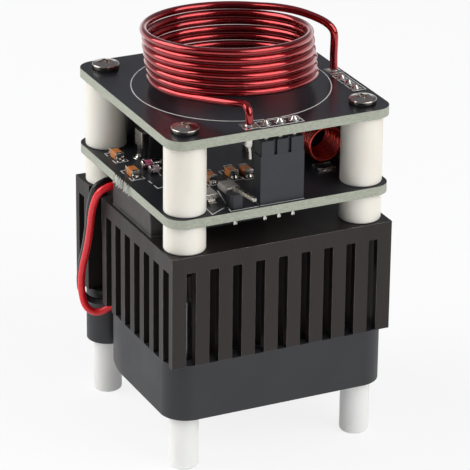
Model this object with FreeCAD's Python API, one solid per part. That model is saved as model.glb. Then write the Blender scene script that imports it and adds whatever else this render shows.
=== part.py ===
"""Desktop resonant transformer: a fan-cooled driver with a bare primary coil on top.

Lengths are millimetres. The origin lies under the middle of the four legs, on the surface that
they stand on. X runs along the front edge, Y runs away from the viewer and Z points up.
"""

import FreeCAD, Part
import math
import os

V = FreeCAD.Vector
UP = V(0, 0, 1)

# Stack of the main pieces, from the table upward
leg_height = 10.0
fan_height = 10.0
sink_height = 19.5
lower_spacer_height = 5.0
board_thick = 1.6
upper_spacer_height = 12.0

# Plan sizes that several pieces share
stack_width = 40.0
hole_inset = 4.0
board_corner_r = 3.0
thread_r = 1.25
clearance_r = 1.45
overrun = 1.0
running_gap = 0.4
fit_gap = 0.05

z_fan = leg_height
z_sink = z_fan + fan_height
z_sink_top = z_sink + sink_height
z_board = z_sink_top + lower_spacer_height
z_board_top = z_board + board_thick
z_deck = z_board_top + upper_spacer_height
z_deck_top = z_deck + board_thick
half_stack = stack_width / 2
half_hole = half_stack - hole_inset

# Legs, spacers and fasteners
leg_r = 2.5
leg_foot_round = 0.6
leg_foot_bore = 4.0
foot_thread_r = 1.0
leg_stud_bore = 4.8
stud_length = 25.0
spacer_r = 3.5
spacer_edge = 0.3
screw_length = 25.0
screw_head_r = 2.4
screw_head_rim = 0.45
screw_head_height = 1.05
recess_width = 0.62
recess_reach = 1.45
recess_depth = 0.7

# Fan housing
fan_corner_r = 4.5
fan_hole_r = 1.6
duct_margin = 1.1
duct_r = half_stack - duct_margin
duct_wall = 1.1
ear_r = 3.6
strut_count = 4
strut_width = 1.8
strut_height = 1.8
hub_plate_r = 12.2
bearing_tube_r = 2.4
lead_angle = 148.0
lead_channel = 3.0
channel_wall = 0.6
channel_floor = 0.4
lead_window_r = 7.0
lead_notch_drop = 1.3

# Fan motor
hub_r = 12.0
hub_wall = 1.3
hub_end = 1.2
hub_lift = 0.5
hub_depth = 6.7
yoke_wall = 0.5
magnet_wall = 1.5
magnet_margin = 0.2
shaft_r = 0.75
shaft_seat = 0.7
shaft_end_gap = 0.3
sleeve_r = 1.6
sleeve_foot_gap = 0.7
stator_poles = 4
stator_stack = 2.8
stator_lift = 3.1
pole_neck = 2.4
pole_shoe = 1.5
pole_shoe_turn = 60.0
stator_ring_r = 3.6
winding_build = 0.5
motor_board_r = 9.5
motor_board_thick = 0.6
blade_count = 7
blade_tip_gap = 0.7
blade_root_sink = 0.5
blade_root_half = 3.4
blade_tip_half = 5.0
blade_root_thick = 1.0
blade_tip_thick = 0.7
blade_camber = 0.9
blade_margin = 0.5

# Heat sink: one block with slots both ways, so that rows of pins are left
sink_base = 2.8
slot_margin = 2.0
front_slot_width = 1.7
front_slot_pitch = 4.15
front_slots = 1 + int((stack_width - 2 * slot_margin) / front_slot_pitch)
side_slot_width = 2.3
side_slot_pitch = 3.9
side_slots = 1 + int((stack_width - 2 * slot_margin) / side_slot_pitch)
notch_depth = 3.4
notch_width = 5.4
notch_inset = 8.4
notch_y = half_stack - notch_inset

# Power transistor lying between the heat sink and the lower board
pad_thick = 0.3
case_length = 20.5
case_width = 15.6
case_inset = 0.6
case_y = -2.4
case_slope = 0.5
case_hole_r = 1.8
case_hole_inset = 5.6
case_ear_r = 1.9
tab_thick = 2.0
tab_margin = 1.0
power_lead_pitch = 5.45
power_lead_width = 1.2
power_lead_thick = 0.6
power_lead_rise = 2.3
power_lead_reach = 3.2
power_lead_tip = 1.2
drill_gap = 0.15

# Plug-in headers that carry the upper board
pin_pitch = 2.54
pin_side = 0.64
header_ways = 3
header_body = 2.54
header_end_gap = 0.14
header_notch_width = 0.5
header_notch_depth = 0.55
socket_height = 8.5
header_inset = 2.0
front_header_x = -0.1
front_header_y = header_inset - half_stack
side_header_x = half_stack - header_inset
side_header_y = -7.1
pin_tail = 1.5
pin_tip = 1.1
tail_r = 0.32
solder_r = 0.95
solder_height = 1.25
solder_tip_r = 0.4

# Angled pin at the front edge of the lower board
angle_pin_inset = 2.2
angle_pin_x = -7.9
angle_pin_y = angle_pin_inset - half_stack
angle_block_chamfer = 0.5
angle_pin_rise = 1.06
angle_pin_reach = 6.2
angle_pin_skew = 7.0
pin_point = 0.25

# Primary coil: a round winding that leans a little, with both ends soldered to the upper board
coil_wire = 1.0
coil_mean_r = 13.75
coil_spacing = 1.44
coil_turns = 6.47
coil_start_angle = -149.1
coil_x = -0.52
coil_y = 0.23
coil_bottom = 1.5
coil_middle = 6.3
coil_tilt_x_share = -0.024
coil_tilt_y_share = -0.081
coil_lean_x_share = -0.117
coil_lean_y_share = 0.056
coil_lead_run = 5.0
coil_front_inset = 2.2
coil_side_inset = 1.5
coil_front_foot_x = -5.5
coil_front_foot_y = coil_front_inset - half_stack
coil_side_foot_x = half_stack - coil_side_inset
coil_side_foot_y = -0.8
coil_tail = 2.7
coil_pad_width = 2.7
coil_pad_thick = 0.08
coil_solder_r = 1.15
coil_solder_height = 0.35
coil_ankle_rise = 1.8
coil_knee_rise = 3.3
coil_knee_back = 1.9
coil_knee_aside = 0.1
coil_side_knee_rise = 8.4

# Air-cored choke on the lower board, its axis along Y
choke_wire = 0.45
choke_mean_r = 3.0
choke_spacing = 0.9
choke_turns = 6.5
choke_side_inset = 7.8
choke_front_inset = 9.0
choke_x = half_stack - choke_side_inset
choke_y = choke_front_inset - half_stack
choke_rise = 5.2
choke_tail = 0.8

# Small parts on the lower board
chip_length = 3.0
chip_width = 1.5
chip_height = 1.3
chip_cap = 0.5
chip_step = 0.05
melf_r = 0.75
melf_length = 3.5
melf_cap = 0.6
rectifier_length = 3.6
rectifier_width = 2.6
rectifier_height = 1.5
rectifier_foot = 0.5
rectifier_foot_thick = 0.35
rectifier_draft = 0.2
resistor_length = 3.2
resistor_width = 2.5
resistor_height = 0.6

# Places of the small parts, as shares of half the board's width
chip_shares = [(-0.85, 0.465), (-0.88, 0.058), (-0.345, -0.305), (-0.14, -0.28), (-0.015, -0.305)]
glass_diode_shares = [(-0.675, 0.145), (-0.66, 0.02)]
moulded_diode_shares = [(-0.31, -0.6), (-0.535, -0.67)]
resistor_shares = [(0.635, -0.46)]

# Power jack at the back left of the lower board, its mouth to the back, with two flat lugs
jack_inset = 7.7
jack_width = 9.0
jack_front_y = 6.5
jack_overhang = 0.2
jack_low = 6.5
jack_height = 11.0
jack_collar = 3.4
jack_bore_r = 3.15
jack_bore_depth = 9.6
jack_pin_r = 1.0
jack_shank_r = 0.8
jack_pin_gap = 0.8
jack_edge = 0.5
lug_thick = 0.3
lug_width = 2.8
lug_tip = 1.0
lug_out = 1.3
lug_rise = 4.8
lug_shoulder = 2.8
lug_back = 1.4

# Moulded film capacitor behind the side header
film_length = 7.3
film_width = 5.0
film_height = 8.5
film_inset = 0.6
film_y = 0.1
film_edge = 0.4
film_pin_pitch = 5.0

# Half holes along the lower board's left edge, where it was snapped from its panel
bite_count = 8
bite_pitch = 0.8
bite_r = 0.25

# Fan leads: hand-chosen points from the lower board, down the side and into the fan housing
lead_diameter = 1.24
run_share = 0.45

red_route = [
    (-16.5, 7.25, 44.5), (-16.5, 7.25, 43.1), (-17.6, 7.2, 42.2), (-19.6, 7.3, 41.9), (-21.2, 7.6, 41.0),
    (-21.6, 9.2, 37.4), (-21.4, 10.4, 33.4), (-21.3, 12.2, 28.9), (-21.9, 13.4, 24.2),
    (-22.1, 12.9, 20.3), (-21.6, 12.0, 17.8), (-19.6, 11.3, 16.8), (-17.2, 9.9, 18.82),
    (-14.0, 7.9, 18.82), (-10.3, 5.61, 18.82), (-6.6, 3.3, 18.82),
]
black_route = [
    (-16.5, 9.8, 44.5), (-16.5, 9.8, 43.1), (-17.6, 9.7, 42.2), (-19.6, 9.4, 42.0), (-21.1, 9.3, 41.2),
    (-21.4, 10.6, 37.5), (-21.1, 11.9, 33.6), (-21.0, 13.5, 29.1), (-21.3, 14.9, 24.8),
    (-21.5, 15.2, 21.2), (-21.2, 14.2, 19.0), (-19.2, 12.8, 18.2), (-16.7, 11.1, 18.82),
    (-13.2, 8.95, 18.82), (-9.5, 6.64, 18.82), (-5.8, 4.34, 18.82),
]


def corners(reach=half_hole):
    """The four places of the hole square, with the name of each."""
    places = (("front_left", -1, -1), ("front_right", 1, -1), ("back_left", -1, 1), ("back_right", 1, 1))
    return [(name, sx * reach, sy * reach) for name, sx, sy in places]


def block(x0, x1, y0, y1, z0, z1):
    """A plain block between two corners."""
    return Part.makeBox(x1 - x0, y1 - y0, z1 - z0, V(x0, y0, z0))


def rod(radius, z0, z1, x=0, y=0):
    """An upright round bar."""
    return Part.makeCylinder(radius, z1 - z0, V(x, y, z0), UP)


def ring(outer, inner, z0, z1, x=0, y=0):
    """An upright tube."""
    return rod(outer, z0, z1, x, y).cut(rod(inner, z0 - overrun, z1 + overrun, x, y))


def turned(shape, degrees, x=0, y=0):
    """A copy turned about an upright axis."""
    copy = shape.copy()
    copy.rotate(V(x, y, 0), UP, degrees)
    return copy


def prism(points, along):
    """A solid from a closed outline, pushed along a vector."""
    return Part.Face(Part.makePolygon(points + [points[0]])).extrude(along)


def rounded_plate(width, corner_r, z0, z1):
    """A square plate with its four upright edges rounded."""
    half = width / 2
    plate = block(-half, half, -half, half, z0, z1)
    upright = [e for e in plate.Edges if e.BoundBox.ZLength > (z1 - z0) / 2]
    return plate.makeFillet(corner_r, upright)


def one(shapes):
    """Several overlapping shapes as one clean solid."""
    return shapes[0].multiFuse(shapes[1:]).removeSplitter()


def corner_arc(start, corner, end):
    """The arc that leaves start toward corner and reaches end from corner, at equal distances."""
    chord_middle = (start + end) * 0.5
    rise = corner - chord_middle
    half_chord = (end - start).Length / 2
    half_turn = math.atan2(rise.Length, half_chord)
    sagitta = half_chord * math.tan(half_turn / 2)
    return Part.Arc(start, chord_middle + rise.normalize() * sagitta, end).toShape()


def biarc(p0, t0, p1, t1):
    """Two arcs that leave p0 along t0, meet smoothly and reach p1 along t1."""
    chord = p1 - p0
    across = chord.dot(t0 + t1)
    bend = 2 * (1 - t0.dot(t1))
    reach = (math.sqrt(across * across + bend * chord.dot(chord)) - across) / bend
    c0 = p0 + t0 * reach
    c1 = p1 - t1 * reach
    middle = (c0 + c1) * 0.5
    return [corner_arc(p0, c0, middle), corner_arc(middle, c1, p1)]


def winding(place, turns, steps):
    """Biarcs through even steps of a winding whose place() takes turns, with its end tangents."""
    nudge = turns / (steps * steps * steps)

    def heading(t):
        return (place(t + nudge) - place(t - nudge)).normalize()

    stations = [turns * i / steps for i in range(steps + 1)]
    edges = []
    for a, b in zip(stations, stations[1:]):
        edges += biarc(place(a), heading(a), place(b), heading(b))
    return edges, heading(0), heading(turns)


def softened(points):
    """Straight runs joined by tangent arcs as large as the two runs allow, with the radii."""
    edges, radii = [], []
    last = points[0]
    for a, b, c in zip(points, points[1:], points[2:]):
        before, after = (a - b), (c - b)
        cut = run_share * min(before.Length, after.Length)
        turn = math.pi - before.getAngle(after)
        radii.append(cut / math.tan(turn / 2))
        enter = b + before.normalize() * cut
        leave = b + after.normalize() * cut
        edges.append(Part.LineSegment(last, enter).toShape())
        edges.append(corner_arc(enter, b, leave))
        last = leave
    edges.append(Part.LineSegment(last, points[-1]).toShape())
    return edges, radii


def tube(edges, radius):
    """A round tube swept along joined edges, in the default mode."""
    path = Part.Wire(edges)
    first = edges[0]
    start = first.valueAt(first.FirstParameter)
    heading = first.tangentAt(first.FirstParameter)
    section = Part.Wire([Part.makeCircle(radius, start, heading)])
    shell = Part.BRepOffsetAPI.MakePipeShell(path)
    shell.add(section)
    shell.build()
    shell.makeSolid()
    return shell.shape()


def self_gap(edges, wire, skip_turn):
    """The least gap of a wound tube to itself, measured on points at least skip_turn apart."""
    step = wire / 2
    points = []
    for edge in edges:
        count = max(2, int(edge.Length / step))
        points += edge.discretize(count)[:-1]
    least = None
    for i, p in enumerate(points):
        for q in points[i + int(skip_turn / step):]:
            d = (p - q).Length
            if least is None or d < least:
                least = d
    return least - wire


def cord(name, route):
    """A free lead as a plain tube along its points, with its radii and volume printed."""
    points = [V(*p) for p in route]
    edges, radii = softened(points)
    solid = tube(edges, lead_diameter / 2)
    length = sum(e.Length for e in edges)
    expected = length * math.pi * (lead_diameter / 2) ** 2
    print(name, "length", round(length, 1), "volume ratio", round(solid.Volume / expected, 4))
    print(name, "radii", [round(r, 1) for r in radii])
    return solid


def save(name, shape):
    """Write one sub-part."""
    shape.exportStep("parts/" + name + ".step")


def group(shapes):
    """Separate solids that share one node."""
    return Part.makeCompound(shapes)


def leg(x, y):
    """A round nylon leg with a blind threaded bore in each end."""
    body = rod(leg_r, 0, leg_height, x, y)
    foot = [e for e in body.Edges if e.BoundBox.ZMax < leg_foot_round and e.BoundBox.XLength > leg_r]
    body = body.makeFillet(leg_foot_round, foot)
    body = body.cut(rod(foot_thread_r, -overrun, leg_foot_bore, x, y))
    return body.cut(rod(thread_r, leg_height - leg_stud_bore, leg_height + overrun, x, y))


def stud(x, y):
    """Threaded rod that ties a leg through the fan into the heat sink."""
    foot = leg_height - leg_stud_bore
    return rod(thread_r, foot, foot + stud_length, x, y)


def spacer(x, y, z0, z1):
    """A round nylon spacer with a clearance bore and eased ends."""
    body = rod(spacer_r, z0, z1, x, y)
    rims = [e for e in body.Edges if e.BoundBox.ZLength < spacer_edge]
    return body.makeFillet(spacer_edge, rims).cut(rod(clearance_r, z0 - overrun, z1 + overrun, x, y))


def screw(x, y):
    """A pan-head screw with a cross recess, from the upper board down into the heat sink."""
    top = z_deck_top + screw_head_height
    rim = z_deck_top + screw_head_rim
    rise = top - rim
    dome_r = (screw_head_r ** 2 + rise ** 2) / (2 * rise)
    half_sweep = math.asin(screw_head_r / dome_r) / 2
    dome_start = V(screw_head_r, 0, rim)
    crown = V(0, 0, top)
    shoulder = V(dome_r * math.sin(half_sweep), 0, top - dome_r * (1 - math.cos(half_sweep)))
    outline = Part.Wire([
        Part.LineSegment(V(0, 0, z_deck_top), V(screw_head_r, 0, z_deck_top)).toShape(),
        Part.LineSegment(V(screw_head_r, 0, z_deck_top), dome_start).toShape(),
        Part.Arc(dome_start, shoulder, crown).toShape(),
        Part.LineSegment(crown, V(0, 0, z_deck_top)).toShape(),
    ])
    head = Part.Face(outline).revolve(V(0, 0, 0), UP, 360)
    half = recess_width / 2
    bar = block(-recess_reach, recess_reach, -half, half, top - recess_depth, top + overrun)
    head = head.cut(one([bar, turned(bar, 90)]))
    head.translate(V(x, y, 0))
    return one([head, rod(thread_r, z_deck_top - screw_length, z_deck_top + screw_head_rim, x, y)])


def strut(angle, width, z0, z1, r0, r1):
    """A straight bar that runs outward in the fan housing."""
    half = width / 2
    return turned(block(r0, r1, -half, half, z0, z1), angle)


def fan_frame():
    """Square housing with a round duct, an open back left corner, struts and the bearing tube."""
    top = z_sink
    outer = rounded_plate(stack_width, fan_corner_r, z_fan, top)
    corner = block(-half_stack - overrun, 0, 0, half_stack + overrun, z_fan - overrun, top + overrun)
    corner = corner.cut(rod(duct_r + duct_wall, z_fan - overrun, top + overrun))
    corner = corner.cut(rod(ear_r, z_fan - overrun, top + overrun, -half_hole, half_hole))
    outer = outer.cut([corner, rod(duct_r, z_fan - overrun, top + overrun)])
    reach = duct_r + duct_wall / 2
    strut_z = top - strut_height
    pieces = [outer, rod(hub_plate_r, strut_z, top)]
    for i in range(1, strut_count):
        angle = lead_angle + 360 * i / strut_count
        pieces.append(strut(angle, strut_width, strut_z, top, hub_plate_r - overrun, reach))
    wide = lead_channel + 2 * channel_wall
    pieces.append(strut(lead_angle, wide, strut_z - channel_floor, top, hub_plate_r - fit_gap, reach))
    tube_foot = z_fan + hub_lift + hub_end + yoke_wall + running_gap
    pieces.append(rod(bearing_tube_r, tube_foot, strut_z))
    frame = one(pieces)
    holes = [rod(fan_hole_r, z_fan - overrun, top + overrun, x, y) for _, x, y in corners()]
    bore = rod(sleeve_r, tube_foot - overrun, strut_z)
    out = half_stack + overrun
    channel = strut(lead_angle, lead_channel, strut_z, top + overrun, lead_window_r, out)
    notch_r = duct_r - channel_wall
    notch = strut(lead_angle, lead_channel, strut_z - lead_notch_drop, top + overrun, notch_r, out)
    return frame.cut(holes + [bore, channel, notch])


def motor_levels():
    """Heights that the fan motor's pieces share."""
    hub_foot = z_fan + hub_lift
    return {
        "hub_foot": hub_foot,
        "hub_inner": hub_foot + hub_end,
        "yoke_inner": hub_foot + hub_end + yoke_wall,
        "hub_top": hub_foot + hub_depth,
        "plate": z_sink - strut_height,
    }


def blade(z0, z1):
    """One twisted blade, lofted between a curved root section and a wider, thinner tip section."""
    middle = (z0 + z1) / 2
    half_height = (z1 - z0) / 2

    def section(radius, half_width, thick):
        def side(offset):
            a = V(radius, -half_width + offset, middle - half_height)
            m = V(radius, offset + blade_camber, middle)
            b = V(radius, half_width + offset, middle + half_height)
            return a, m, b
        a0, m0, b0 = side(-thick / 2)
        a1, m1, b1 = side(thick / 2)
        return Part.Wire([
            Part.Arc(a0, m0, b0).toShape(),
            Part.LineSegment(b0, b1).toShape(),
            Part.Arc(b1, m1, a1).toShape(),
            Part.LineSegment(a1, a0).toShape(),
        ])

    tip_r = duct_r - blade_tip_gap
    root = section(hub_r - blade_root_sink, blade_root_half, blade_root_thick)
    tip = section(tip_r + blade_root_sink, blade_tip_half, blade_tip_thick)
    return Part.makeLoft([root, tip], True, True).common(rod(tip_r, z0, z1))


def fan_impeller():
    """Hub cup, open upward, with its blades."""
    z = motor_levels()
    inner = hub_r - hub_wall
    cup = rod(hub_r, z["hub_foot"], z["hub_top"]).cut(rod(inner, z["hub_inner"], z["hub_top"] + overrun))
    one_blade = blade(z["hub_foot"] + blade_margin, z["hub_top"])
    one_blade = one_blade.cut(rod(hub_r - hub_wall / 2, z["hub_foot"], z["hub_top"] + overrun))
    blades = [turned(one_blade, 360 * i / blade_count) for i in range(blade_count)]
    seat = rod(shaft_r, z["hub_inner"] - shaft_seat, z["hub_top"])
    return one([cup] + blades).cut(seat)


def rotor_yoke():
    """Steel cup pressed into the hub, round the magnet."""
    z = motor_levels()
    outer = hub_r - hub_wall
    cup = rod(outer, z["hub_inner"], z["hub_top"]).cut(
        rod(outer - yoke_wall, z["yoke_inner"], z["hub_top"] + overrun))
    return cup.cut(rod(shaft_r, z["hub_foot"], z["hub_top"]))


def rotor_magnet():
    """Ring magnet inside the steel cup."""
    z = motor_levels()
    outer = hub_r - hub_wall - yoke_wall
    return ring(outer, outer - magnet_wall, z["yoke_inner"], z["hub_top"] - magnet_margin)


def rotor_shaft():
    """Steel shaft pressed into the hub's end."""
    z = motor_levels()
    return rod(shaft_r, z["hub_inner"] - shaft_seat, z["plate"] - shaft_end_gap)


def sleeve_bearing():
    """Bronze sleeve in the housing's tube."""
    z = motor_levels()
    foot = z["yoke_inner"] + sleeve_foot_gap
    return ring(sleeve_r, shaft_r + fit_gap, foot, z["plate"])


def stator_reach():
    """Radius of the stator's poles, a running gap inside the magnet."""
    return hub_r - hub_wall - yoke_wall - magnet_wall - running_gap


def stator_core():
    """Laminated core: a ring on the bearing tube and poles with curved shoes."""
    z0 = z_fan + stator_lift
    z1 = z0 + stator_stack
    outer = stator_reach()
    half = pole_neck / 2
    pieces = [rod(stator_ring_r, z0, z1)]
    shoes = ring(outer, outer - pole_shoe, z0, z1)
    reach = outer + overrun
    side = reach * math.tan(math.radians(pole_shoe_turn / 2))
    wedge = prism([V(0, 0, z0), V(reach, -side, z0), V(reach, side, z0)], V(0, 0, z1 - z0))
    shoe = shoes.common(wedge)
    neck = block(0, outer - pole_shoe / 2, -half, half, z0, z1)
    for i in range(stator_poles):
        pieces += [turned(neck, 360 * i / stator_poles), turned(shoe, 360 * i / stator_poles)]
    return one(pieces).cut(rod(bearing_tube_r, z0 - overrun, z1 + overrun))


def stator_windings():
    """Copper round each pole neck, as a closed sleeve."""
    z0 = z_fan + stator_lift
    z1 = z0 + stator_stack
    inner = stator_ring_r + fit_gap
    half = pole_neck / 2
    b = winding_build
    outer = math.sqrt((stator_reach() - pole_shoe) ** 2 - (half + b) ** 2) - fit_gap
    sleeve = block(inner, outer, -half - b, half + b, z0 - b, z1 + b)
    sleeve = sleeve.cut(block(inner - overrun, outer + overrun, -half, half, z0, z1))
    return group([turned(sleeve, 360 * i / stator_poles) for i in range(stator_poles)])


def motor_board():
    """Round circuit board under the housing's middle plate."""
    plate = motor_levels()["plate"]
    return ring(motor_board_r, bearing_tube_r, plate - motor_board_thick, plate)


def heatsink():
    """Square block slotted both ways from below, drilled for screws and studs, with one notch."""
    body = block(-half_stack, half_stack, -half_stack, half_stack, z_sink, z_sink_top)
    roof = z_sink_top - sink_base
    far = half_stack + overrun
    cuts = []
    for i in range(front_slots):
        x = (i - (front_slots - 1) / 2) * front_slot_pitch
        half = front_slot_width / 2
        cuts.append(block(x - half, x + half, -far, far, z_sink - overrun, roof))
    for i in range(side_slots):
        y = (i - (side_slots - 1) / 2) * side_slot_pitch
        half = side_slot_width / 2
        cuts.append(block(-far, far, y - half, y + half, z_sink - overrun, roof))
    cuts += [rod(thread_r, z_sink - overrun, z_sink_top + overrun, x, y) for _, x, y in corners()]
    cuts.append(block(-far, notch_depth - half_stack, notch_y - notch_width / 2, notch_y + notch_width / 2,
                      z_sink - overrun, z_sink_top + overrun))
    return body.cut(cuts)


def case_place():
    """Ends of the power transistor's case in X and its middle in Y."""
    x0 = -half_stack + case_inset
    return x0, x0 + case_length, case_y


def mosfet():
    """Thermal pad, metal tab, moulded case and three bent leads."""
    x0, x1, y = case_place()
    z0 = z_sink_top + pad_thick
    half = case_width / 2
    pad = block(x0, x1, y - half, y + half, z_sink_top, z0)
    hole_x = x0 + case_hole_inset
    hole = rod(case_hole_r, z_sink_top - overrun, z_board + overrun, hole_x, y)
    tab_half = half - tab_margin
    tab = block(x0 + tab_margin, x1 - tab_margin, y - tab_half, y + tab_half, z0, z0 + tab_thick).cut(hole)
    section = [
        V(x0, y - half, z0), V(x0, y + half, z0), V(x0, y + half, z0 + tab_thick),
        V(x0, y + half - case_slope, z_board), V(x0, y - half + case_slope, z_board),
        V(x0, y - half, z0 + tab_thick),
    ]
    case = prism(section, V(x1 - x0, 0, 0))
    ears = [rod(case_ear_r, z0 + tab_thick, z_board + overrun, hole_x, y + side) for side in (-half, half)]
    case = case.cut(ears + [tab, hole])
    leads = []
    holes = []
    for i in (-1, 0, 1):
        ly = y + i * power_lead_pitch
        lz = z0 + power_lead_rise
        bend_x = x1 + power_lead_reach
        w = power_lead_width / 2
        out = block(x1, bend_x, ly - w, ly + w, lz, lz + power_lead_thick)
        rise = block(bend_x - power_lead_thick, bend_x, ly - w, ly + w, lz, z_board_top + power_lead_tip)
        leads.append(one([out, rise]))
        g = drill_gap
        holes.append(block(bend_x - power_lead_thick - g, bend_x + g, ly - w - g, ly + w + g,
                           z_board - overrun, z_board_top + overrun))
    return pad, tab, case, leads, holes


def header_places(x, y, along_y):
    """Pin places of a three-way header."""
    ways = [(i - (header_ways - 1) / 2) * pin_pitch for i in range(header_ways)]
    return [(x, y + w) if along_y else (x + w, y) for w in ways]


def header(x, y, along_y):
    """Socket on the lower board, plug strip under the upper board and the pins through both."""
    half_l = header_ways * pin_pitch / 2 + header_end_gap
    half_b = header_body / 2
    z0 = z_board_top
    z1 = z0 + socket_height
    z2 = z1 + header_body
    turn = 90 if along_y else 0
    s = pin_side / 2
    places = header_places(x, y, along_y)
    socket = turned(block(x - half_l, x + half_l, y - half_b, y + half_b, z0, z1), turn, x, y)
    wells = [block(px - s, px + s, py - s, py + s, z0 - overrun, z2 + overrun) for px, py in places]
    socket = socket.cut(wells)
    strip_l = header_ways * pin_pitch / 2
    strip = block(x - strip_l, x + strip_l, y - half_b, y + half_b, z1, z2)
    notches = []
    for i in range(1, header_ways):
        nx = x - strip_l + i * pin_pitch
        n = header_notch_width / 2
        for side in (-1, 1):
            edge = y + side * half_b
            notches.append(block(nx - n, nx + n, edge - header_notch_depth, edge + header_notch_depth,
                                 z1 - overrun, z2 + overrun))
    strip = turned(strip.cut(notches), turn, x, y).cut(wells)
    tip, tail = z_deck_top + pin_tip, z_board - pin_tail
    pins = [block(px - s, px + s, py - s, py + s, tail, tip) for px, py in places]
    return socket, strip, pins


def cone(x, y, z, radius, tip, height, core):
    """A solder fillet round a pin or wire, wide at the board."""
    body = Part.makeCone(radius, tip, height, V(x, y, z), UP)
    return body.cut(core)


def angle_header():
    """Single pin in a moulded block, bent forward over the board's front edge."""
    x, y = angle_pin_x, angle_pin_y
    half = header_body / 2
    c = angle_block_chamfer
    z0 = z_board_top
    z1 = z0 + header_body
    outline = [V(x + sx, y + sy, z0) for sx, sy in (
        (-half, -half + c), (-half + c, -half), (half - c, -half), (half, -half + c),
        (half, half - c), (half - c, half), (-half + c, half), (-half, half - c))]
    s = pin_side / 2
    post = block(x - s, x + s, y - s, y + s, z_board - pin_tail, z1 + angle_pin_rise)
    body = prism(outline, V(0, 0, header_body)).cut(post)
    z = z1 + angle_pin_rise - s
    tip_y = y - angle_pin_reach
    arm = block(x - s, x + s, tip_y + pin_point, y, z - s, z + s)

    def square(half_side, at_y):
        turns = [(-1, -1), (1, -1), (1, 1), (-1, 1), (-1, -1)]
        return Part.makePolygon([V(x + i * half_side, at_y, z + j * half_side) for i, j in turns])

    point = Part.makeLoft([square(s, tip_y + pin_point), square(s / 2, tip_y)], True, True)
    arm = turned(one([arm, point]), angle_pin_skew, x, y)
    return body, one([post, arm])


def coil_place(t):
    """A place on the primary winding after t turns; it rises clockwise and leans."""
    z = coil_bottom + coil_spacing * t
    angle = math.radians(coil_start_angle - 360 * t)
    dx = coil_mean_r * math.cos(angle)
    dy = coil_mean_r * math.sin(angle)
    off = z - coil_middle
    lift = coil_tilt_x_share * dx + coil_tilt_y_share * dy
    x = coil_x + coil_lean_x_share * off + dx
    y = coil_y + coil_lean_y_share * off + dy
    return V(x, y, z_deck_top + z + lift)


def primary_coil():
    """The winding and both its leads as one unbroken tube."""
    steps = math.ceil(4 * coil_turns)
    turns, t0, t1 = winding(coil_place, coil_turns, steps)
    start, end = coil_place(0), coil_place(coil_turns)
    fx, fy = coil_front_foot_x, coil_front_foot_y
    front = [
        V(fx, fy, z_deck - coil_tail),
        V(fx, fy, z_deck_top + coil_ankle_rise),
        V(fx - coil_knee_aside, fy + coil_knee_back, z_deck_top + coil_knee_rise),
        start - t0 * coil_lead_run,
        start,
    ]
    side = [
        end,
        end + t1 * coil_lead_run,
        V(coil_side_foot_x, coil_side_foot_y, z_deck_top + coil_side_knee_rise),
        V(coil_side_foot_x, coil_side_foot_y, z_deck - coil_tail),
    ]
    front_edges, front_radii = softened(front)
    side_edges, side_radii = softened(side)
    edges = front_edges + turns + side_edges
    solid = tube(edges, coil_wire / 2)
    length = sum(e.Length for e in edges)
    expected = length * math.pi * (coil_wire / 2) ** 2
    print("primary coil length", round(length, 1), "volume ratio", round(solid.Volume / expected, 4))
    print("primary coil lead radii", [round(r, 1) for r in front_radii + side_radii])
    print("primary coil least gap to itself", round(self_gap(edges, coil_wire, coil_mean_r), 3))
    return solid


def choke_place(t):
    """A place on the choke's winding; it starts on the right side, rising."""
    angle = 2 * math.pi * t
    x = choke_x + choke_mean_r * math.cos(angle)
    z = z_board_top + choke_rise + choke_mean_r * math.sin(angle)
    return V(x, choke_y + choke_spacing * t, z)


def choke_coil():
    """The choke's winding with both legs down through the lower board."""
    steps = math.ceil(4 * choke_turns)
    turns, t0, t1 = winding(choke_place, choke_turns, steps)
    start, end = choke_place(0), choke_place(choke_turns)
    foot = z_board - choke_tail
    knee = z_board_top + choke_rise - choke_mean_r / 2
    first = Part.LineSegment(V(start.x, start.y, foot), V(start.x, start.y, knee)).toShape()
    last = Part.LineSegment(V(end.x, end.y, knee), V(end.x, end.y, foot)).toShape()
    ease_in = biarc(V(start.x, start.y, knee), UP, start, t0)
    ease_out = biarc(end, t1, V(end.x, end.y, knee), V(0, 0, -1))
    edges = [first] + ease_in + turns + ease_out + [last]
    solid = tube(edges, choke_wire / 2)
    length = sum(e.Length for e in edges)
    expected = length * math.pi * (choke_wire / 2) ** 2
    print("choke length", round(length, 1), "volume ratio", round(solid.Volume / expected, 4))
    print("choke least gap to itself", round(self_gap(edges, choke_wire, choke_mean_r * 2), 3))
    feet = [(start.x, start.y), (end.x, end.y)]
    return solid, feet


def chip(x, y, length, width, height, cap, turn=0):
    """A chip part with slightly proud end caps, its length along Y."""
    z0 = z_board_top
    body = block(x - width / 2 + chip_step, x + width / 2 - chip_step, y - length / 2 + cap,
                 y + length / 2 - cap, z0, z0 + height - chip_step)
    ends = []
    for side in (-1, 1):
        y0 = y + side * length / 2
        y1 = y0 - side * cap
        ends.append(block(x - width / 2, x + width / 2, min(y0, y1), max(y0, y1), z0, z0 + height))
    return turned(one([body] + ends), turn, x, y)


def melf(x, y):
    """A round glass diode lying along X with a metal cap on each end."""
    z = z_board_top + melf_r
    glass_r = melf_r - chip_step
    along = V(1, 0, 0)
    x0 = x - melf_length / 2
    glass = Part.makeCylinder(glass_r, melf_length, V(x0, y, z), along)
    ends = [Part.makeCylinder(melf_r, melf_cap, V(x0, y, z), along),
            Part.makeCylinder(melf_r, melf_cap, V(x0 + melf_length - melf_cap, y, z), along)]
    return one([glass] + ends)


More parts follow.
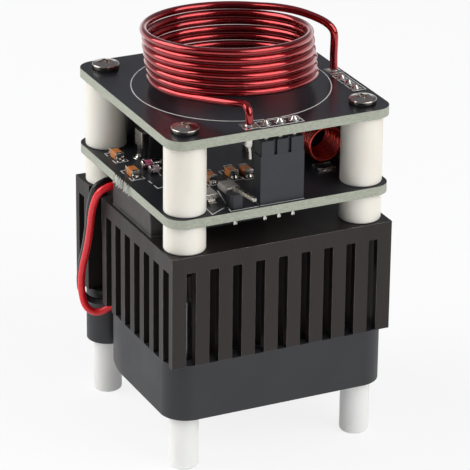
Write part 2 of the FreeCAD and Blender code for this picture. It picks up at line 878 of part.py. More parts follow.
def rectifier(x, y, turn=0):
    """A moulded diode with sloping sides on two flat metal feet, its length along Y."""
    z0 = z_board_top
    hw, hl = rectifier_width / 2, rectifier_length / 2
    d = rectifier_draft
    rise = rectifier_foot_thick / 2

    def outline(inset, z):
        w, h = hw - inset, hl - inset
        turns = [(-1, -1), (1, -1), (1, 1), (-1, 1), (-1, -1)]
        return Part.makePolygon([V(x + i * w, y + j * h, z) for i, j in turns])

    waist = z0 + rectifier_height / 2
    lower = Part.makeLoft([outline(d, z0 + rise), outline(0, waist)], True, True)
    upper = Part.makeLoft([outline(0, waist), outline(d, z0 + rectifier_height)], True, True)
    feet = []
    half = hw / 2
    for side in (-1, 1):
        y0 = y + side * (hl - rectifier_foot)
        y1 = y + side * (hl + rectifier_foot)
        feet.append(block(x - half, x + half, min(y0, y1), max(y0, y1), z0, z0 + rectifier_foot_thick))
    return turned(one([lower, upper] + feet), turn, x, y)


def power_jack():
    """Jack body with a round barrel, a square collar and a bore, its centre pin and its two lugs."""
    z0 = z_board_top
    x0 = -half_stack + jack_inset
    x1 = x0 + jack_width
    x = (x0 + x1) / 2
    y0 = jack_front_y
    y1 = half_stack + jack_overhang
    axis_z = z0 + jack_height - jack_width / 2
    along = V(0, 1, 0)
    low = block(x0, x1, y0, y1, z0, z0 + jack_low)
    upright = [e for e in low.Edges if e.BoundBox.ZLength > jack_low / 2]
    low = low.makeFillet(jack_edge, upright)
    barrel = Part.makeCylinder(jack_width / 2, y1 - y0, V(x, y0, axis_z), along)
    collar = block(x0, x1, y1 - jack_collar, y1, z0, z0 + jack_height)
    bore_y = y1 - jack_bore_depth
    bore = Part.makeCylinder(jack_bore_r, jack_bore_depth + overrun, V(x, bore_y, axis_z), along)
    shank = Part.makeCylinder(jack_shank_r, bore_y - y0, V(x, y0, axis_z), along)
    free = Part.makeCylinder(jack_pin_r, jack_bore_depth - jack_pin_gap, V(x, bore_y, axis_z), along)
    body = one([low, barrel, collar]).cut([bore, shank])
    t = lug_thick
    foot = z_board - pin_tail

    def lug(out, width, rise):
        w, tip = width / 2, lug_tip / 2
        top = z0 + rise
        arm = block(0, out, -w, w, top - t, top)
        drop = block(out - t, out, -w, w, top - lug_shoulder, top)
        tail = block(out - t, out, -tip, tip, foot, top)
        return one([arm, drop, tail])

    side_y = y0 + lug_back
    side = turned(lug(lug_out, lug_width, lug_rise), 180)
    side.translate(V(x0, side_y, 0))
    rear = turned(lug(2 * t, lug_width, axis_z - z0 + lug_width / 2), -90)
    rear.translate(V(x, y0, 0))
    feet = [(x0 - lug_out + t / 2, side_y), (x, y0 - 2 * t + t / 2)]
    return body, one([shank, free]), [side, rear], feet


def film_capacitor():
    """Moulded box capacitor on two round pins."""
    x1 = half_stack - film_inset
    x0 = x1 - film_length
    half = film_width / 2
    box = block(x0, x1, film_y - half, film_y + half, z_board_top, z_board_top + film_height)
    upright = [e for e in box.Edges if e.BoundBox.ZLength > film_height / 2]
    box = box.makeFillet(film_edge, upright)
    middle = (x0 + x1) / 2
    feet = [(middle - film_pin_pitch / 2, film_y), (middle + film_pin_pitch / 2, film_y)]
    pins = [rod(tail_r, z_board - pin_tail, z_board_top, x, y) for x, y in feet]
    return one([box] + pins), feet


def board(z, holes):
    """A square board with rounded corners, corner holes and the given drillings."""
    plate = rounded_plate(stack_width, board_corner_r, z, z + board_thick)
    through = [rod(clearance_r, z - overrun, z + board_thick + overrun, x, y) for _, x, y in corners()]
    return plate.cut(through + holes)


def drill(places, radius, z):
    """Round holes through a board."""
    return [rod(radius, z - overrun, z + board_thick + overrun, x, y) for x, y in places]


def on_board(shares):
    """Places on the lower board from shares of half its width."""
    return [(sx * half_stack, sy * half_stack) for sx, sy in shares]


def edge_bites():
    """A row of half holes where the lower board was snapped from its panel."""
    first = -(bite_count - 1) / 2 * bite_pitch
    return [rod(bite_r, z_board - overrun, z_board_top + overrun, -half_stack, first + i * bite_pitch)
            for i in range(bite_count)]


def main():
    os.makedirs("parts", exist_ok=True)

    for name, x, y in corners():
        save("leg_" + name, leg(x, y))
        save("spacer_lower_" + name, spacer(x, y, z_sink_top, z_board))
        save("spacer_upper_" + name, spacer(x, y, z_board_top, z_deck))
    save("leg_studs", group([stud(x, y) for _, x, y in corners()]))
    save("board_screws", group([screw(x, y) for _, x, y in corners()]))

    save("fan_frame", fan_frame())
    save("fan_impeller", fan_impeller())
    save("rotor_yoke", rotor_yoke())
    save("rotor_magnet", rotor_magnet())
    save("rotor_shaft", rotor_shaft())
    save("fan_sleeve_bearing", sleeve_bearing())
    save("fan_stator_core", stator_core())
    save("fan_windings", stator_windings())
    save("fan_circuit_board", motor_board())
    save("heatsink", heatsink())

    pad, tab, case, power_leads, power_holes = mosfet()
    save("thermal_pad", pad)
    save("mosfet_tab", tab)
    save("mosfet_case", case)
    save("mosfet_leads", group(power_leads))

    pin_hole = tail_r + drill_gap
    deck_places = []
    board_places = [(angle_pin_x, angle_pin_y)]
    cones_up = []
    headers = [("front", front_header_x, front_header_y, False),
               ("side", side_header_x, side_header_y, True)]
    for name, x, y, along_y in headers:
        socket, strip, pins = header(x, y, along_y)
        save(name + "_socket", socket)
        save(name + "_plug_strip", strip)
        save(name + "_header_pins", group(pins))
        places = header_places(x, y, along_y)
        deck_places += places
        board_places += places
        cones_up += [cone(px, py, z_deck_top, solder_r, solder_tip_r, solder_height, pin)
                     for (px, py), pin in zip(places, pins)]

    block_body, pin = angle_header()
    save("angle_header_block", block_body)
    save("angle_header_pin", pin)

    coil = primary_coil()
    save("primary_coil", coil)
    half_pad = coil_pad_width / 2
    coil_feet = [(coil_front_foot_x, coil_front_foot_y), (coil_side_foot_x, coil_side_foot_y)]
    for x, y in coil_feet:
        pad_top = z_deck_top + coil_pad_thick
        pad_plate = block(x - half_pad, x + half_pad, y - half_pad, y + half_pad, z_deck_top, pad_top)
        fillet = Part.makeCone(coil_solder_r, coil_wire / 2 + coil_pad_thick, coil_solder_height,
                               V(x, y, z_deck_top), UP)
        core = rod(coil_wire / 2, z_deck - overrun, z_deck_top + overrun, x, y)
        cones_up.append(one([pad_plate, fillet]).cut(core))
    save("coil_board_solder", group(cones_up))

    choke, choke_feet = choke_coil()
    save("choke_coil", choke)

    for i, (x, y) in enumerate(on_board(chip_shares)):
        save("chip_capacitor_" + str(i + 1), chip(x, y, chip_length, chip_width, chip_height, chip_cap))
    for i, (x, y) in enumerate(on_board(glass_diode_shares)):
        save("glass_diode_" + str(i + 1), melf(x, y))
    for i, (x, y) in enumerate(on_board(moulded_diode_shares)):
        save("moulded_diode_" + str(i + 1), rectifier(x, y))
    for x, y in on_board(resistor_shares):
        save("chip_resistor", chip(x, y, resistor_width, resistor_length, resistor_height, chip_cap))

    jack_body, jack_pin, jack_lugs, jack_feet = power_jack()
    save("power_jack_body", jack_body)
    save("power_jack_pin", jack_pin)
    save("power_jack_lugs", group(jack_lugs))
    film, film_feet = film_capacitor()
    save("film_capacitor", film)

    save("fan_lead_red", cord("fan lead red", red_route))
    save("fan_lead_black", cord("fan lead black", black_route))

    lower_drills = drill(board_places + film_feet, pin_hole, z_board)
    lower_drills += drill(choke_feet, choke_wire / 2 + drill_gap, z_board)
    lower_drills += drill(jack_feet, lug_tip / 2 + drill_gap, z_board)
    save("driver_board", board(z_board, lower_drills + power_holes + edge_bites()))
    upper_drills = drill(deck_places, pin_hole, z_deck) + drill(coil_feet, coil_wire / 2, z_deck)
    save("coil_board", board(z_deck, upper_drills))


main()
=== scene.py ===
# %% [markdown]
# # A desktop resonant transformer
# This lesson dresses a small bench apparatus: four nylon legs, a square fan, a heat sink of
# square pins, two black circuit boards on ivory spacers, and a bare coil of red enamelled wire.
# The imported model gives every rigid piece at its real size. We keep those shapes, ease their
# edges, wind the coils as wire, lay the ink and solder on the boards, and give each piece the
# finish of the real thing.

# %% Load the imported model
import math

import bmesh
import bpy
from mathutils import Matrix, Vector


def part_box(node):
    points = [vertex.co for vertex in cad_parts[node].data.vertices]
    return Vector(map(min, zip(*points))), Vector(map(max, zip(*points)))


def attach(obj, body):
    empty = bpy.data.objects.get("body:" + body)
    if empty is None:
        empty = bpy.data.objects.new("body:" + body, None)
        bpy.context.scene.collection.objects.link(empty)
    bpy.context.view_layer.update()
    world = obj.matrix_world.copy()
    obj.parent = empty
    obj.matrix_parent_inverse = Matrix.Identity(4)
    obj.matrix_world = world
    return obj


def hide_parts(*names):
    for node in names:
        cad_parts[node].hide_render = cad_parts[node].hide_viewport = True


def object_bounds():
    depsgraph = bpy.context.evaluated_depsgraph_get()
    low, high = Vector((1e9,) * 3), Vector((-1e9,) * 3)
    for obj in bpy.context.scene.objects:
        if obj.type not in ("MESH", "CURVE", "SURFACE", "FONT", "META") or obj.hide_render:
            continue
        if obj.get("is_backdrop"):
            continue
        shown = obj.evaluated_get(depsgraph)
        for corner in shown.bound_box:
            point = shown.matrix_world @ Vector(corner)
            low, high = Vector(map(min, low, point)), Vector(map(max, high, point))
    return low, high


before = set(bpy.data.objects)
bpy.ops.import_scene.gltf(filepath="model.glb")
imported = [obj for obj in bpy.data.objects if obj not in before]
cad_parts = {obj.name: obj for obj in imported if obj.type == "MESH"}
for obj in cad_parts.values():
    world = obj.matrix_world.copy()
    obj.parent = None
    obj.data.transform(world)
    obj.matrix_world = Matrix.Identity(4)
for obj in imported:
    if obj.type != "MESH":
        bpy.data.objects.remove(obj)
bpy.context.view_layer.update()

# %% [markdown]
# Blender works in metres here, but a small apparatus is easier to think of in millimetres.
# `mm` turns millimetres into metres, and `at` does that for a whole point. The heights that many
# pieces share are read from the frame, so nothing is measured twice.

# %% Units and shared heights
MM = 0.001


def mm(value):
    return value * MM


def at(x, y, z):
    return Vector((mm(x), mm(y), mm(z)))


board_low, board_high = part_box("driver_board")
deck_low, deck_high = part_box("coil_board")
board_under, board_top = board_low.z / MM, board_high.z / MM
deck_under, deck_top = deck_low.z / MM, deck_high.z / MM
half_board = deck_high.x / MM
print("board tops at", round(board_top, 2), "and", round(deck_top, 2), "mm")

# %% [markdown]
# The camera comes first, because everything after it is judged through it. Its focal length and
# place were solved from corners whose real positions are known: board corners, spacer ends and
# fin tips. A long lens from half a metre away flattens the perspective, as product photographs do.
# We build the camera's axes from its azimuth, elevation and a slight roll.

# %% Camera
photo_width_px = 470
focal_px = 3119.2
sensor_mm = 36.0
view_azimuth = math.radians(-25.72)
view_elevation = math.radians(23.521)
view_roll = math.radians(0.649)
aim_height_mm = 32.559
aim_aside_mm = 0.696
camera_distance_mm = 528.385

back = Vector((math.sin(view_azimuth) * math.cos(view_elevation),
               -math.cos(view_azimuth) * math.cos(view_elevation),
               math.sin(view_elevation)))
level_right = Vector((0, 0, 1)).cross(back).normalized()
level_up = back.cross(level_right)
right = math.cos(view_roll) * level_right + math.sin(view_roll) * level_up
up = math.cos(view_roll) * level_up - math.sin(view_roll) * level_right
aim = at(0, 0, aim_height_mm) + right * mm(aim_aside_mm)

camera = bpy.data.objects.new("camera", bpy.data.cameras.new("camera"))
bpy.context.scene.collection.objects.link(camera)
camera.data.sensor_width = sensor_mm
camera.data.lens = focal_px / photo_width_px * sensor_mm
camera.data.clip_start = mm(20)
camera.data.clip_end = mm(5000)
turn = Matrix((right, up, back)).transposed().to_4x4()
camera.matrix_world = Matrix.Translation(aim + back * mm(camera_distance_mm)) @ turn
bpy.context.scene.camera = camera
print("lens", round(camera.data.lens, 1), "mm")

# %% [markdown]
# Two helpers serve every finish. Colours are written as the sRGB codes that a picture editor
# shows, and `linear` turns them into the linear values that the renderer mixes. `add` puts one
# node into a tree: plain settings go on the node or its sockets, and links join it to others.

# %% Colour and node helpers
def linear(code):
    """An sRGB hex colour as linear red, green, blue and alpha."""
    channels = [int(code[i:i + 2], 16) / 255 for i in (1, 3, 5)]
    bright = [c / 12.92 if c <= 0.04045 else ((c + 0.055) / 1.055) ** 2.4 for c in channels]
    return (*bright, 1.0)


def add(tree, kind, settings=None, links=None):
    """One node with its settings, and its inputs joined to other nodes' outputs."""
    node = tree.nodes.new(kind)
    for key, value in (settings or {}).items():
        if isinstance(key, int) or key in node.inputs:
            node.inputs[key].default_value = value
        else:
            setattr(node, key, value)
    for key, output in (links or {}).items():
        tree.links.new(output, node.inputs[key])
    return node


def finish(name, **constants):
    """A new material with a Principled shader whose plain values are set on its own sockets."""
    made = bpy.data.materials.new(name)
    made.use_nodes = True
    shader = made.node_tree.nodes["Principled BSDF"]
    for key, value in constants.items():
        shader.inputs[key.replace("_", " ")].default_value = value
    return made, made.node_tree, shader


def per_metre(size_mm):
    """The texture scale at which one pattern cell is about this many millimetres."""
    return 1 / mm(size_mm)


# %% [markdown]
# Most finishes need the same three things: a colour that wanders a little between two tones, a
# roughness that wanders with it, and a fine bump. `uneven` adds all three from noise in the
# piece's own coordinates, so the pattern stays put when the piece moves. `surface` makes such
# a finish in one call.

# %% Uneven colour, roughness and bump
def uneven(tree, shader, tones, patch_mm, rough, grain_mm, grain_height_mm, stretch=(1, 1, 1)):
    """Colour between two tones, roughness between two values, and grain of a real size."""
    place = add(tree, "ShaderNodeTexCoord").outputs["Object"]
    placed = add(tree, "ShaderNodeMapping", {"Scale": stretch}, {"Vector": place}).outputs[0]
    patch = add(tree, "ShaderNodeTexNoise", {"Scale": per_metre(patch_mm), "Detail": 4.0},
                {"Vector": placed}).outputs["Fac"]
    spread = add(tree, "ShaderNodeMapRange",
                 {"From Min": 0.35, "From Max": 0.65}, {"Value": patch}).outputs[0]
    two_tones = {"data_type": "RGBA", 6: linear(tones[0]), 7: linear(tones[1])}
    colour = add(tree, "ShaderNodeMix", two_tones, {0: spread}).outputs[2]
    sheen = add(tree, "ShaderNodeMapRange", {"To Min": rough[0], "To Max": rough[1]},
                {"Value": spread}).outputs[0]
    grain = add(tree, "ShaderNodeTexNoise", {"Scale": per_metre(grain_mm), "Detail": 3.0},
                {"Vector": placed}).outputs["Fac"]
    bump = add(tree, "ShaderNodeBump", {"Strength": 1.0, "Distance": mm(grain_height_mm)},
               {"Height": grain}).outputs[0]
    tree.links.new(colour, shader.inputs["Base Color"])
    tree.links.new(sheen, shader.inputs["Roughness"])
    tree.links.new(bump, shader.inputs["Normal"])
    return place, colour, spread


def surface(name, *look, **constants):
    """A finish with its plain values on the shader and the look that `uneven` takes."""
    made, tree, shader = finish(name, **constants)
    uneven(tree, shader, *look)
    return made


# %% [markdown]
# **Nylon** legs and spacers are turned or moulded from natural polyamide. Light enters the
# surface and spreads a millimetre or two, which gives the soft, waxy gradient across the round.
# Subsurface scattering gives that, with a satin surface above it. The spacers have aged to
# ivory and the legs are a cooler white.

# %% Nylon
def nylon(name, tones):
    return surface(
        name, tones, 4.0, (0.36, 0.46), 0.5, 0.004, (1, 1, 0.3), IOR=1.53,
        Subsurface_Weight=0.35, Subsurface_Scale=mm(1.0), Subsurface_Radius=(1.0, 0.8, 0.6))


spacer_nylon = nylon("natural_nylon_ivory", ("#F1EDE3", "#ECE6DA"))
leg_nylon = nylon("natural_nylon_white", ("#F6F5F3", "#F1F0EC"))
print("nylon finishes: ivory and white")

# %% [markdown]
# **Black moulded plastics.** The fan is glass-filled PBT from a spark-eroded mould, so it is an
# even satin charcoal with a very fine grain. The headers are smoother and catch a paler sheen.
# The semiconductor cases are moulded epoxy, with a slightly brown, dusty black.

# %% Moulded plastics
fan_plastic = surface(
    "moulded_pbt_black", ("#242528", "#2B2C2F"), 6.0, (0.46, 0.56), 0.14, 0.006, IOR=1.5)
header_plastic = surface(
    "moulded_header_black", ("#26282C", "#2C2E33"), 3.0, (0.40, 0.5), 0.12, 0.004, IOR=1.5)
epoxy_case = surface(
    "moulded_epoxy_case", ("#2F2B2A", "#3D3735"), 2.0, (0.42, 0.6), 0.16, 0.008, IOR=1.5)
jack_plastic = surface(
    "moulded_jack_black", ("#0E0F11", "#141517"), 3.0, (0.4, 0.5), 0.2, 0.003, IOR=1.5)
print("moulded plastics: fan, headers, cases, jack")

# %% [markdown]
# ** Black-anodised aluminium** is the heat sink: an extruded bar, sawn across into pins and then
# anodised. Drawing leaves faint lines along the bar, and the dye gives a warm, brownish black.
# Along every sawn corner a line of bright metal is a painted highlight. It is a finish of its own,
# and the bevel that eases the corners will carry it.

# %% Anodised aluminium and its painted edge highlights
anodised = surface(
    "black_anodised_aluminium", ("#2B2726", "#342E2D"), 5.0, (0.42, 0.54), 0.35, 0.004,
    (1, 1, 0.08), Metallic=0.5)
# Painted highlight: pale bright metal for the bevels, so every corner of the sink shows a light
# line.
painted_edge_highlight = surface(
    "aluminium_edge_painted_highlight", ("#7D7570", "#D6CEC8"), 1.6, (0.3, 0.45), 0.2, 0.004, Metallic=0.85)
print("heat sink finishes: anodised face, worn edge")

# %% [markdown]
# **Bright metals.** Screw heads are nickel plated and polished; pins, leads and chip ends are
# tin plated, which is paler and softer; solder is tin that froze from a liquid, glossy with
# slow waves. Studs are zinc plated. A metal's look is mostly what it mirrors, so these stay
# simple: metallic, a typical colour and the right roughness.

# %% Bright metals
def metal(name, tones, rough, grain_mm, grain_height_mm):
    return surface(name, tones, 0.8, rough, grain_mm, grain_height_mm, Metallic=1.0)


nickel = metal("polished_nickel_plate", ("#C9C2BA", "#B5ADA5"), (0.14, 0.24), 0.3, 0.004)
tin = metal("tin_plate", ("#CFCBC4", "#B9B4AC"), (0.2, 0.34), 0.25, 0.01)
solder = metal("bright_solder", ("#D6D3CD", "#BEBAB3"), (0.14, 0.26), 0.5, 0.03)
zinc = metal("zinc_plate", ("#B9BBBD", "#A5A7AA"), (0.28, 0.4), 0.3, 0.006)
ground_steel = metal("ground_steel", ("#BFC0C2", "#AFB0B3"), (0.12, 0.2), 0.2, 0.002)
bronze = metal("oiled_sintered_bronze", ("#8E6B3F", "#76572F"), (0.35, 0.5), 0.15, 0.01)
lamination = metal("stamped_silicon_steel", ("#8A8B8E", "#6E6F73"), (0.35, 0.5), 0.35, 0.01)
bare_copper = metal("enamelled_copper", ("#B2622F", "#8E4721"), (0.2, 0.32), 0.25, 0.02)
print("metals:", nickel.name, tin.name, solder.name, zinc.name)

# %% [markdown]
# **Solder mask** is a glossy black lacquer over copper tracks on a glass-fibre board. It mirrors
# the red coil softly. On the lower board, which was washed after soldering, it is more satin.
# The cut edge shows the bare laminate, pale sage green with the fibres running along it. Where
# the lower board was snapped from its panel, the torn fibres are white, and the half-hole walls
# between them carry painted shade.

# %% Circuit board finishes
solder_mask = surface(
    "black_solder_mask", ("#1B1D22", "#202227"), 7.0, (0.23, 0.27), 0.5, 0.001, IOR=1.52)
satin_mask = surface(
    "satin_black_solder_mask", ("#1B1D22", "#202227"), 7.0, (0.42, 0.5), 0.5, 0.001, IOR=1.5)
laminate_edge = surface(
    "glass_fibre_laminate_edge", ("#979C8C", "#AFB3A4"), 0.45, (0.5, 0.7), 0.22, 0.03, (1, 1, 3),
    IOR=1.5)
torn_glass = surface(
    "torn_glass_fibre", ("#F0F0EA", "#D6D8CE"), 0.6, (0.4, 0.6), 0.2, 0.01, IOR=1.5)
# Painted shade: a dark finish that stands for the shadow inside the half holes.
painted_gap_shade = surface(
    "painted_hole_shade", ("#2E2F28", "#45463C"), 0.4, (0.6, 0.8), 0.1, 0.02, IOR=1.5)
green_mask = surface(
    "green_solder_mask", ("#1B5A33", "#236B3E"), 3.0, (0.25, 0.35), 0.4, 0.003, IOR=1.52)
board_ink = surface(
    "white_printing_ink", ("#E8E8E4", "#CFCFCA"), 0.5, (0.5, 0.65), 0.2, 0.004, IOR=1.45)
print("board finishes: mask, laminate, ink")

# %% [markdown]
# **Enamelled wire.** The primary is thick copper under a clear, deep red enamel: a metal seen
# through a coloured varnish, with a second, colourless reflection on top. A metallic base in the
# enamel's red with a clear coat gives both: long pinkish streaks from the lamps on a dark red
# body. Where each end was scraped for soldering, the copper shows just above the board, so the
# finish changes with height there. The choke has the same wire, thinner and more orange.

# %% Enamelled wire
bare_height_mm = 0.3


def enamelled(name, tones, bare_below=None):
    """Coloured varnish over copper, scraped bare below a height where one is given."""
    made, tree, shader = finish(name, Metallic=0.94, Coat_Weight=1.0, Coat_Roughness=0.05,
                                Coat_IOR=1.55)
    place, colour, spread = uneven(tree, shader, tones, 2.5, (0.16, 0.24), 0.9, 0.004)
    if bare_below is not None:
        height = add(tree, "ShaderNodeSeparateXYZ", links={0: place}).outputs["Z"]
        ragged = add(tree, "ShaderNodeMath", {"operation": "MULTIPLY_ADD", 1: mm(0.5)},
                     {0: spread, 2: height}).outputs[0]
        bare = add(tree, "ShaderNodeMapRange",
                   {"From Min": mm(bare_below + 0.35), "From Max": mm(bare_below + 0.1)},
                   {"Value": ragged}).outputs[0]
        mixed = add(tree, "ShaderNodeMix", {"data_type": "RGBA", 7: linear("#D9A58C")},
                    {0: bare, 6: colour}).outputs[2]
        tree.links.new(mixed, shader.inputs["Base Color"])
    return made


coil_enamel = enamelled("red_enamelled_copper", ("#AE0C14", "#960810"), deck_top + bare_height_mm)
choke_enamel = enamelled("orange_enamelled_copper", ("#E03A24", "#C22A18"))
print("enamelled wire: red and orange")

# %% [markdown]
# ** Small finishes** for the rest: fired ceramic of the chip capacitors, tinted glass and moulded
# bodies of the diodes, soft PVC on the fan's leads, the ferrite magnet and the silicone pad. The
# pad's grey is darkened as painted shade for the gap under the transistor's case.

# %% Small finishes
ceramic = surface(
    "fired_capacitor_ceramic", ("#DC8C4C", "#C5713A"), 1.0, (0.32, 0.45), 0.12, 0.006, IOR=1.6)


def tinted_glass(name, tones):
    return surface(name, tones, 0.6, (0.12, 0.2), 0.3, 0.004, IOR=1.5, Coat_Weight=0.8,
                   Coat_Roughness=0.05, Transmission_Weight=0.25)


rose_glass = tinted_glass("rose_diode_glass", ("#F27FA6", "#E0608C"))
grey_glass = tinted_glass("smoked_diode_glass", ("#DCC4CA", "#C4AAB0"))

grey_case = surface(
    "moulded_grey_case", ("#A39C96", "#8F8984"), 0.8, (0.4, 0.5), 0.12, 0.006, IOR=1.5)
glaze = surface(
    "glazed_resistor_film", ("#3A3C40", "#2C2E31"), 1.0, (0.2, 0.3), 0.2, 0.004, IOR=1.55)
red_pvc = surface(
    "red_pvc_insulation", ("#EE202C", "#E01622"), 3.0, (0.26, 0.34), 0.6, 0.001,
    IOR=1.52, Subsurface_Weight=0.15, Subsurface_Scale=mm(0.5), Subsurface_Radius=(1.0, 0.2, 0.15))
black_pvc = surface(
    "black_pvc_insulation", ("#17181A", "#1F2023"), 3.0, (0.25, 0.35), 0.5, 0.006, IOR=1.52)
ferrite = surface(
    "sintered_ferrite", ("#2A2827", "#383534"), 1.5, (0.5, 0.65), 0.1, 0.01, IOR=1.6)
# Painted shade: the pad's grey is darkened to stand for the shadow under the transistor's case.
silicone = surface(
    "silicone_pad_painted_shade", ("#5A5A5A", "#4C4C4C"), 1.5, (0.55, 0.7), 0.12, 0.01, IOR=1.42)
print("small finishes:", len(bpy.data.materials), "materials in all")

# %% [markdown]
# A CAD solid has knife-sharp edges, and nothing real has. `eased` copies a node's mesh, joins its
# split corners, lets a bevel modifier round every sharp edge by a real amount, and stands in for
# the node. A second finish can go on the rounded edge itself, which is how the heat sink gets
# its painted edge highlights. The CAD shape and size stay as they are.

# %% Ease the edges of CAD pieces
def clean_copy(node, name):
    """The node's mesh with its split corners joined and flat areas merged."""
    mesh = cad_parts[node].data.copy()
    mesh.name = name
    mesh.materials.clear()
    bm = bmesh.new()
    bm.from_mesh(mesh)
    bmesh.ops.remove_doubles(bm, verts=bm.verts, dist=mm(0.0005))
    bmesh.ops.dissolve_limit(bm, angle_limit=math.radians(0.5), verts=bm.verts, edges=bm.edges)
    for face in bm.faces:
        face.smooth = True
    bm.to_mesh(mesh)
    bm.free()
    if "custom_normal" in mesh.attributes:
        mesh.attributes.remove(mesh.attributes["custom_normal"])
    return mesh


def new_mesh(name, bm, face_outward=True):
    """A mesh from one in the making, which is then let go."""
    if face_outward:
        bmesh.ops.recalc_face_normals(bm, faces=bm.faces)
    mesh = bpy.data.meshes.new(name)
    bm.to_mesh(mesh)
    bm.free()
    return mesh


def place_piece(name, mesh, body, slot, *finishes):
    """A new piece that rides on a body and takes the finishes it is given; the slot is not used."""
    piece = bpy.data.objects.new(name, mesh)
    bpy.context.scene.collection.objects.link(piece)
    for one in finishes:
        mesh.materials.append(one)
    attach(piece, body)
    return piece


def bevelled(piece, width_mm, segments=2, angle=None):
    """Rounds the edges sharper than the angle, or by their weights where no angle is given."""
    bevel = piece.modifiers.new("eased edges", "BEVEL")
    bevel.width = mm(width_mm)
    bevel.segments = segments
    bevel.limit_method = "ANGLE" if angle else "WEIGHT"
    if angle:
        bevel.angle_limit = math.radians(angle)
    bevel.harden_normals = True
    return bevel


def eased(node, slot, width_mm, main, edge=None, body="chassis"):
    """A copy of a CAD node with its sharp edges rounded, shown in the node's place."""
    name = node + "_eased"
    finishes = [main, edge] if edge else [main]
    piece = place_piece(name, clean_copy(node, name), body, slot, *finishes)
    bevel = bevelled(piece, width_mm, angle=35)
    if edge:
        bevel.material = 1
    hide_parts(node)
    return piece


# The sink's bevels take the painted-highlight finish as their second material.
eased("heatsink", "anodised_black", 0.12, anodised, painted_edge_highlight)
eased("fan_frame", "fan_plastic", 0.15, fan_plastic)
eased("fan_impeller", "fan_plastic", 0.12, fan_plastic, body="impeller")
eased("mosfet_case", "moulded_epoxy", 0.2, epoxy_case)
for node in ("front_socket", "side_socket", "front_plug_strip", "side_plug_strip",
             "angle_header_block"):
    eased(node, "header_plastic", 0.07, header_plastic)
for node in ("front_header_pins", "side_header_pins", "angle_header_pin", "mosfet_leads",
             "power_jack_lugs"):
    eased(node, "tinned_metal", 0.06, tin)
eased("film_capacitor", "moulded_epoxy", 0.2, jack_plastic)
eased("power_jack_body", "jack_plastic", 0.12, jack_plastic)
eased("mosfet_tab", "tinned_metal", 0.08, tin)

# %% [markdown]
# The header pins end inside small cones of solder on the upper board. Each pin is cut across
# just above the board, and its top is drawn in and lowered so that it hides in its cone.

# %% Header pin tops
pin_cut_mm, pin_top_mm, pin_top_share = 0.2, 0.65, 0.3
for node, axis in (("front_header_pins", 0), ("side_header_pins", 1)):
    mesh = bpy.data.objects[node + "_eased"].data
    bm = bmesh.new()
    bm.from_mesh(mesh)
    bmesh.ops.bisect_plane(bm, geom=bm.verts[:] + bm.edges[:] + bm.faces[:], dist=mm(0.001),
                           plane_co=at(0, 0, deck_top + pin_cut_mm), plane_no=(0, 0, 1))
    low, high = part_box(node)
    middle, reach = (low + high) / 2, high - low
    pitch = (reach[axis] - reach[1 - axis]) / 2
    for vert in bm.verts:
        if vert.co.z > mm(deck_top + 0.5):
            centre = middle.copy()
            centre[axis] += pitch * round((vert.co[axis] - middle[axis]) / pitch)
            vert.co.xy = centre.xy + (vert.co.xy - centre.xy) * pin_top_share
            vert.co.z = mm(deck_top + pin_top_mm)
    bm.to_mesh(mesh)
    bm.free()
print("pin tops at", round(deck_top + pin_top_mm, 2), "mm")

# %% [markdown]
# The remaining CAD nodes are right as they are, so they only take a finish.

# %% Finishes on CAD nodes
plain_nodes = {
    "leg_studs": zinc, "thermal_pad": silicone,
    "rotor_yoke": zinc, "rotor_magnet": ferrite, "rotor_shaft": ground_steel,
    "fan_sleeve_bearing": bronze, "fan_stator_core": lamination, "fan_windings": bare_copper,
    "fan_circuit_board": green_mask, "power_jack_pin": tin,
}
for corner in ("front_left", "front_right", "back_left", "back_right"):
    plain_nodes["spacer_lower_" + corner] = spacer_nylon
    plain_nodes["spacer_upper_" + corner] = spacer_nylon
    plain_nodes["leg_" + corner] = leg_nylon
for node, material in plain_nodes.items():
    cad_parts[node].data.materials.clear()
    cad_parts[node].data.materials.append(material)
print("plain nodes:", len(plain_nodes))

# %% [markdown]
# **Screw heads** are struck, not turned, so a wide round joins the side wall to the low dome and
# only the cross recess is crisp. The vertices of the CAD head move to the struck head's wall and
# crown. The bevel modifier then reads one weight for each edge: full for the rim, a fifth for
# the recess.

# %% Screw heads
head_radius_mm, cad_wall_mm, cad_crown_mm = 2.4, 0.45, 1.05
wall_mm, crown_mm = 0.92, 1.38
rim_share, rim_round_mm, recess_share, recess_weight = 0.96, 0.32, 0.84, 0.2
mesh = clean_copy("board_screws", "board_screws_eased")
screw_low, screw_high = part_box("board_screws")
head_place = screw_high.x / MM - head_radius_mm
bm = bmesh.new()
bm.from_mesh(mesh)
weight = bm.edges.layers.float.new("bevel_weight_edge")
for vert in bm.verts:
    centre = Vector([math.copysign(mm(head_place), c) for c in vert.co.xy])
    out = (vert.co.xy - centre) / MM
    rise = vert.co.z / MM - deck_top
    vert.tag = rise > cad_wall_mm - 0.02 and out.length > head_radius_mm - 0.05
    if rise > cad_wall_mm + 0.02 or (rise > 0.02 and out.length < head_radius_mm - 0.5):
        vert.co.xy = centre + out * mm(recess_share)
    elif rise > -0.02 and out.length > head_radius_mm - 0.05:
        vert.co.xy = centre + out * mm(rim_share)
    if rise > cad_wall_mm - 0.02:
        share = (rise - cad_wall_mm) / (cad_crown_mm - cad_wall_mm)
        vert.co.z = mm(deck_top + wall_mm + share * (crown_mm - wall_mm))
for edge in bm.edges:
    if edge.verts[0].tag and edge.verts[1].tag:
        edge[weight] = 1.0
    elif min(v.co.z for v in edge.verts) > mm(deck_top + wall_mm) and edge.calc_face_angle(0) > 0.6:
        edge[weight] = recess_weight
bm.to_mesh(mesh)
bm.free()
screws = place_piece("board_screws_eased", mesh, "chassis", "nickel_screw", nickel)
bevelled(screws, rim_round_mm, segments=4)
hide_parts("board_screws")
print("screw heads at", round(head_place, 2), "mm from the middle")

# %% [markdown]
# **The boards** need two finishes on one solid: lacquer above and below, and raw laminate round
# the edge. A face that looks sideways is laminate. The corners of a routed board are crisp, so
# the bevel is tiny.

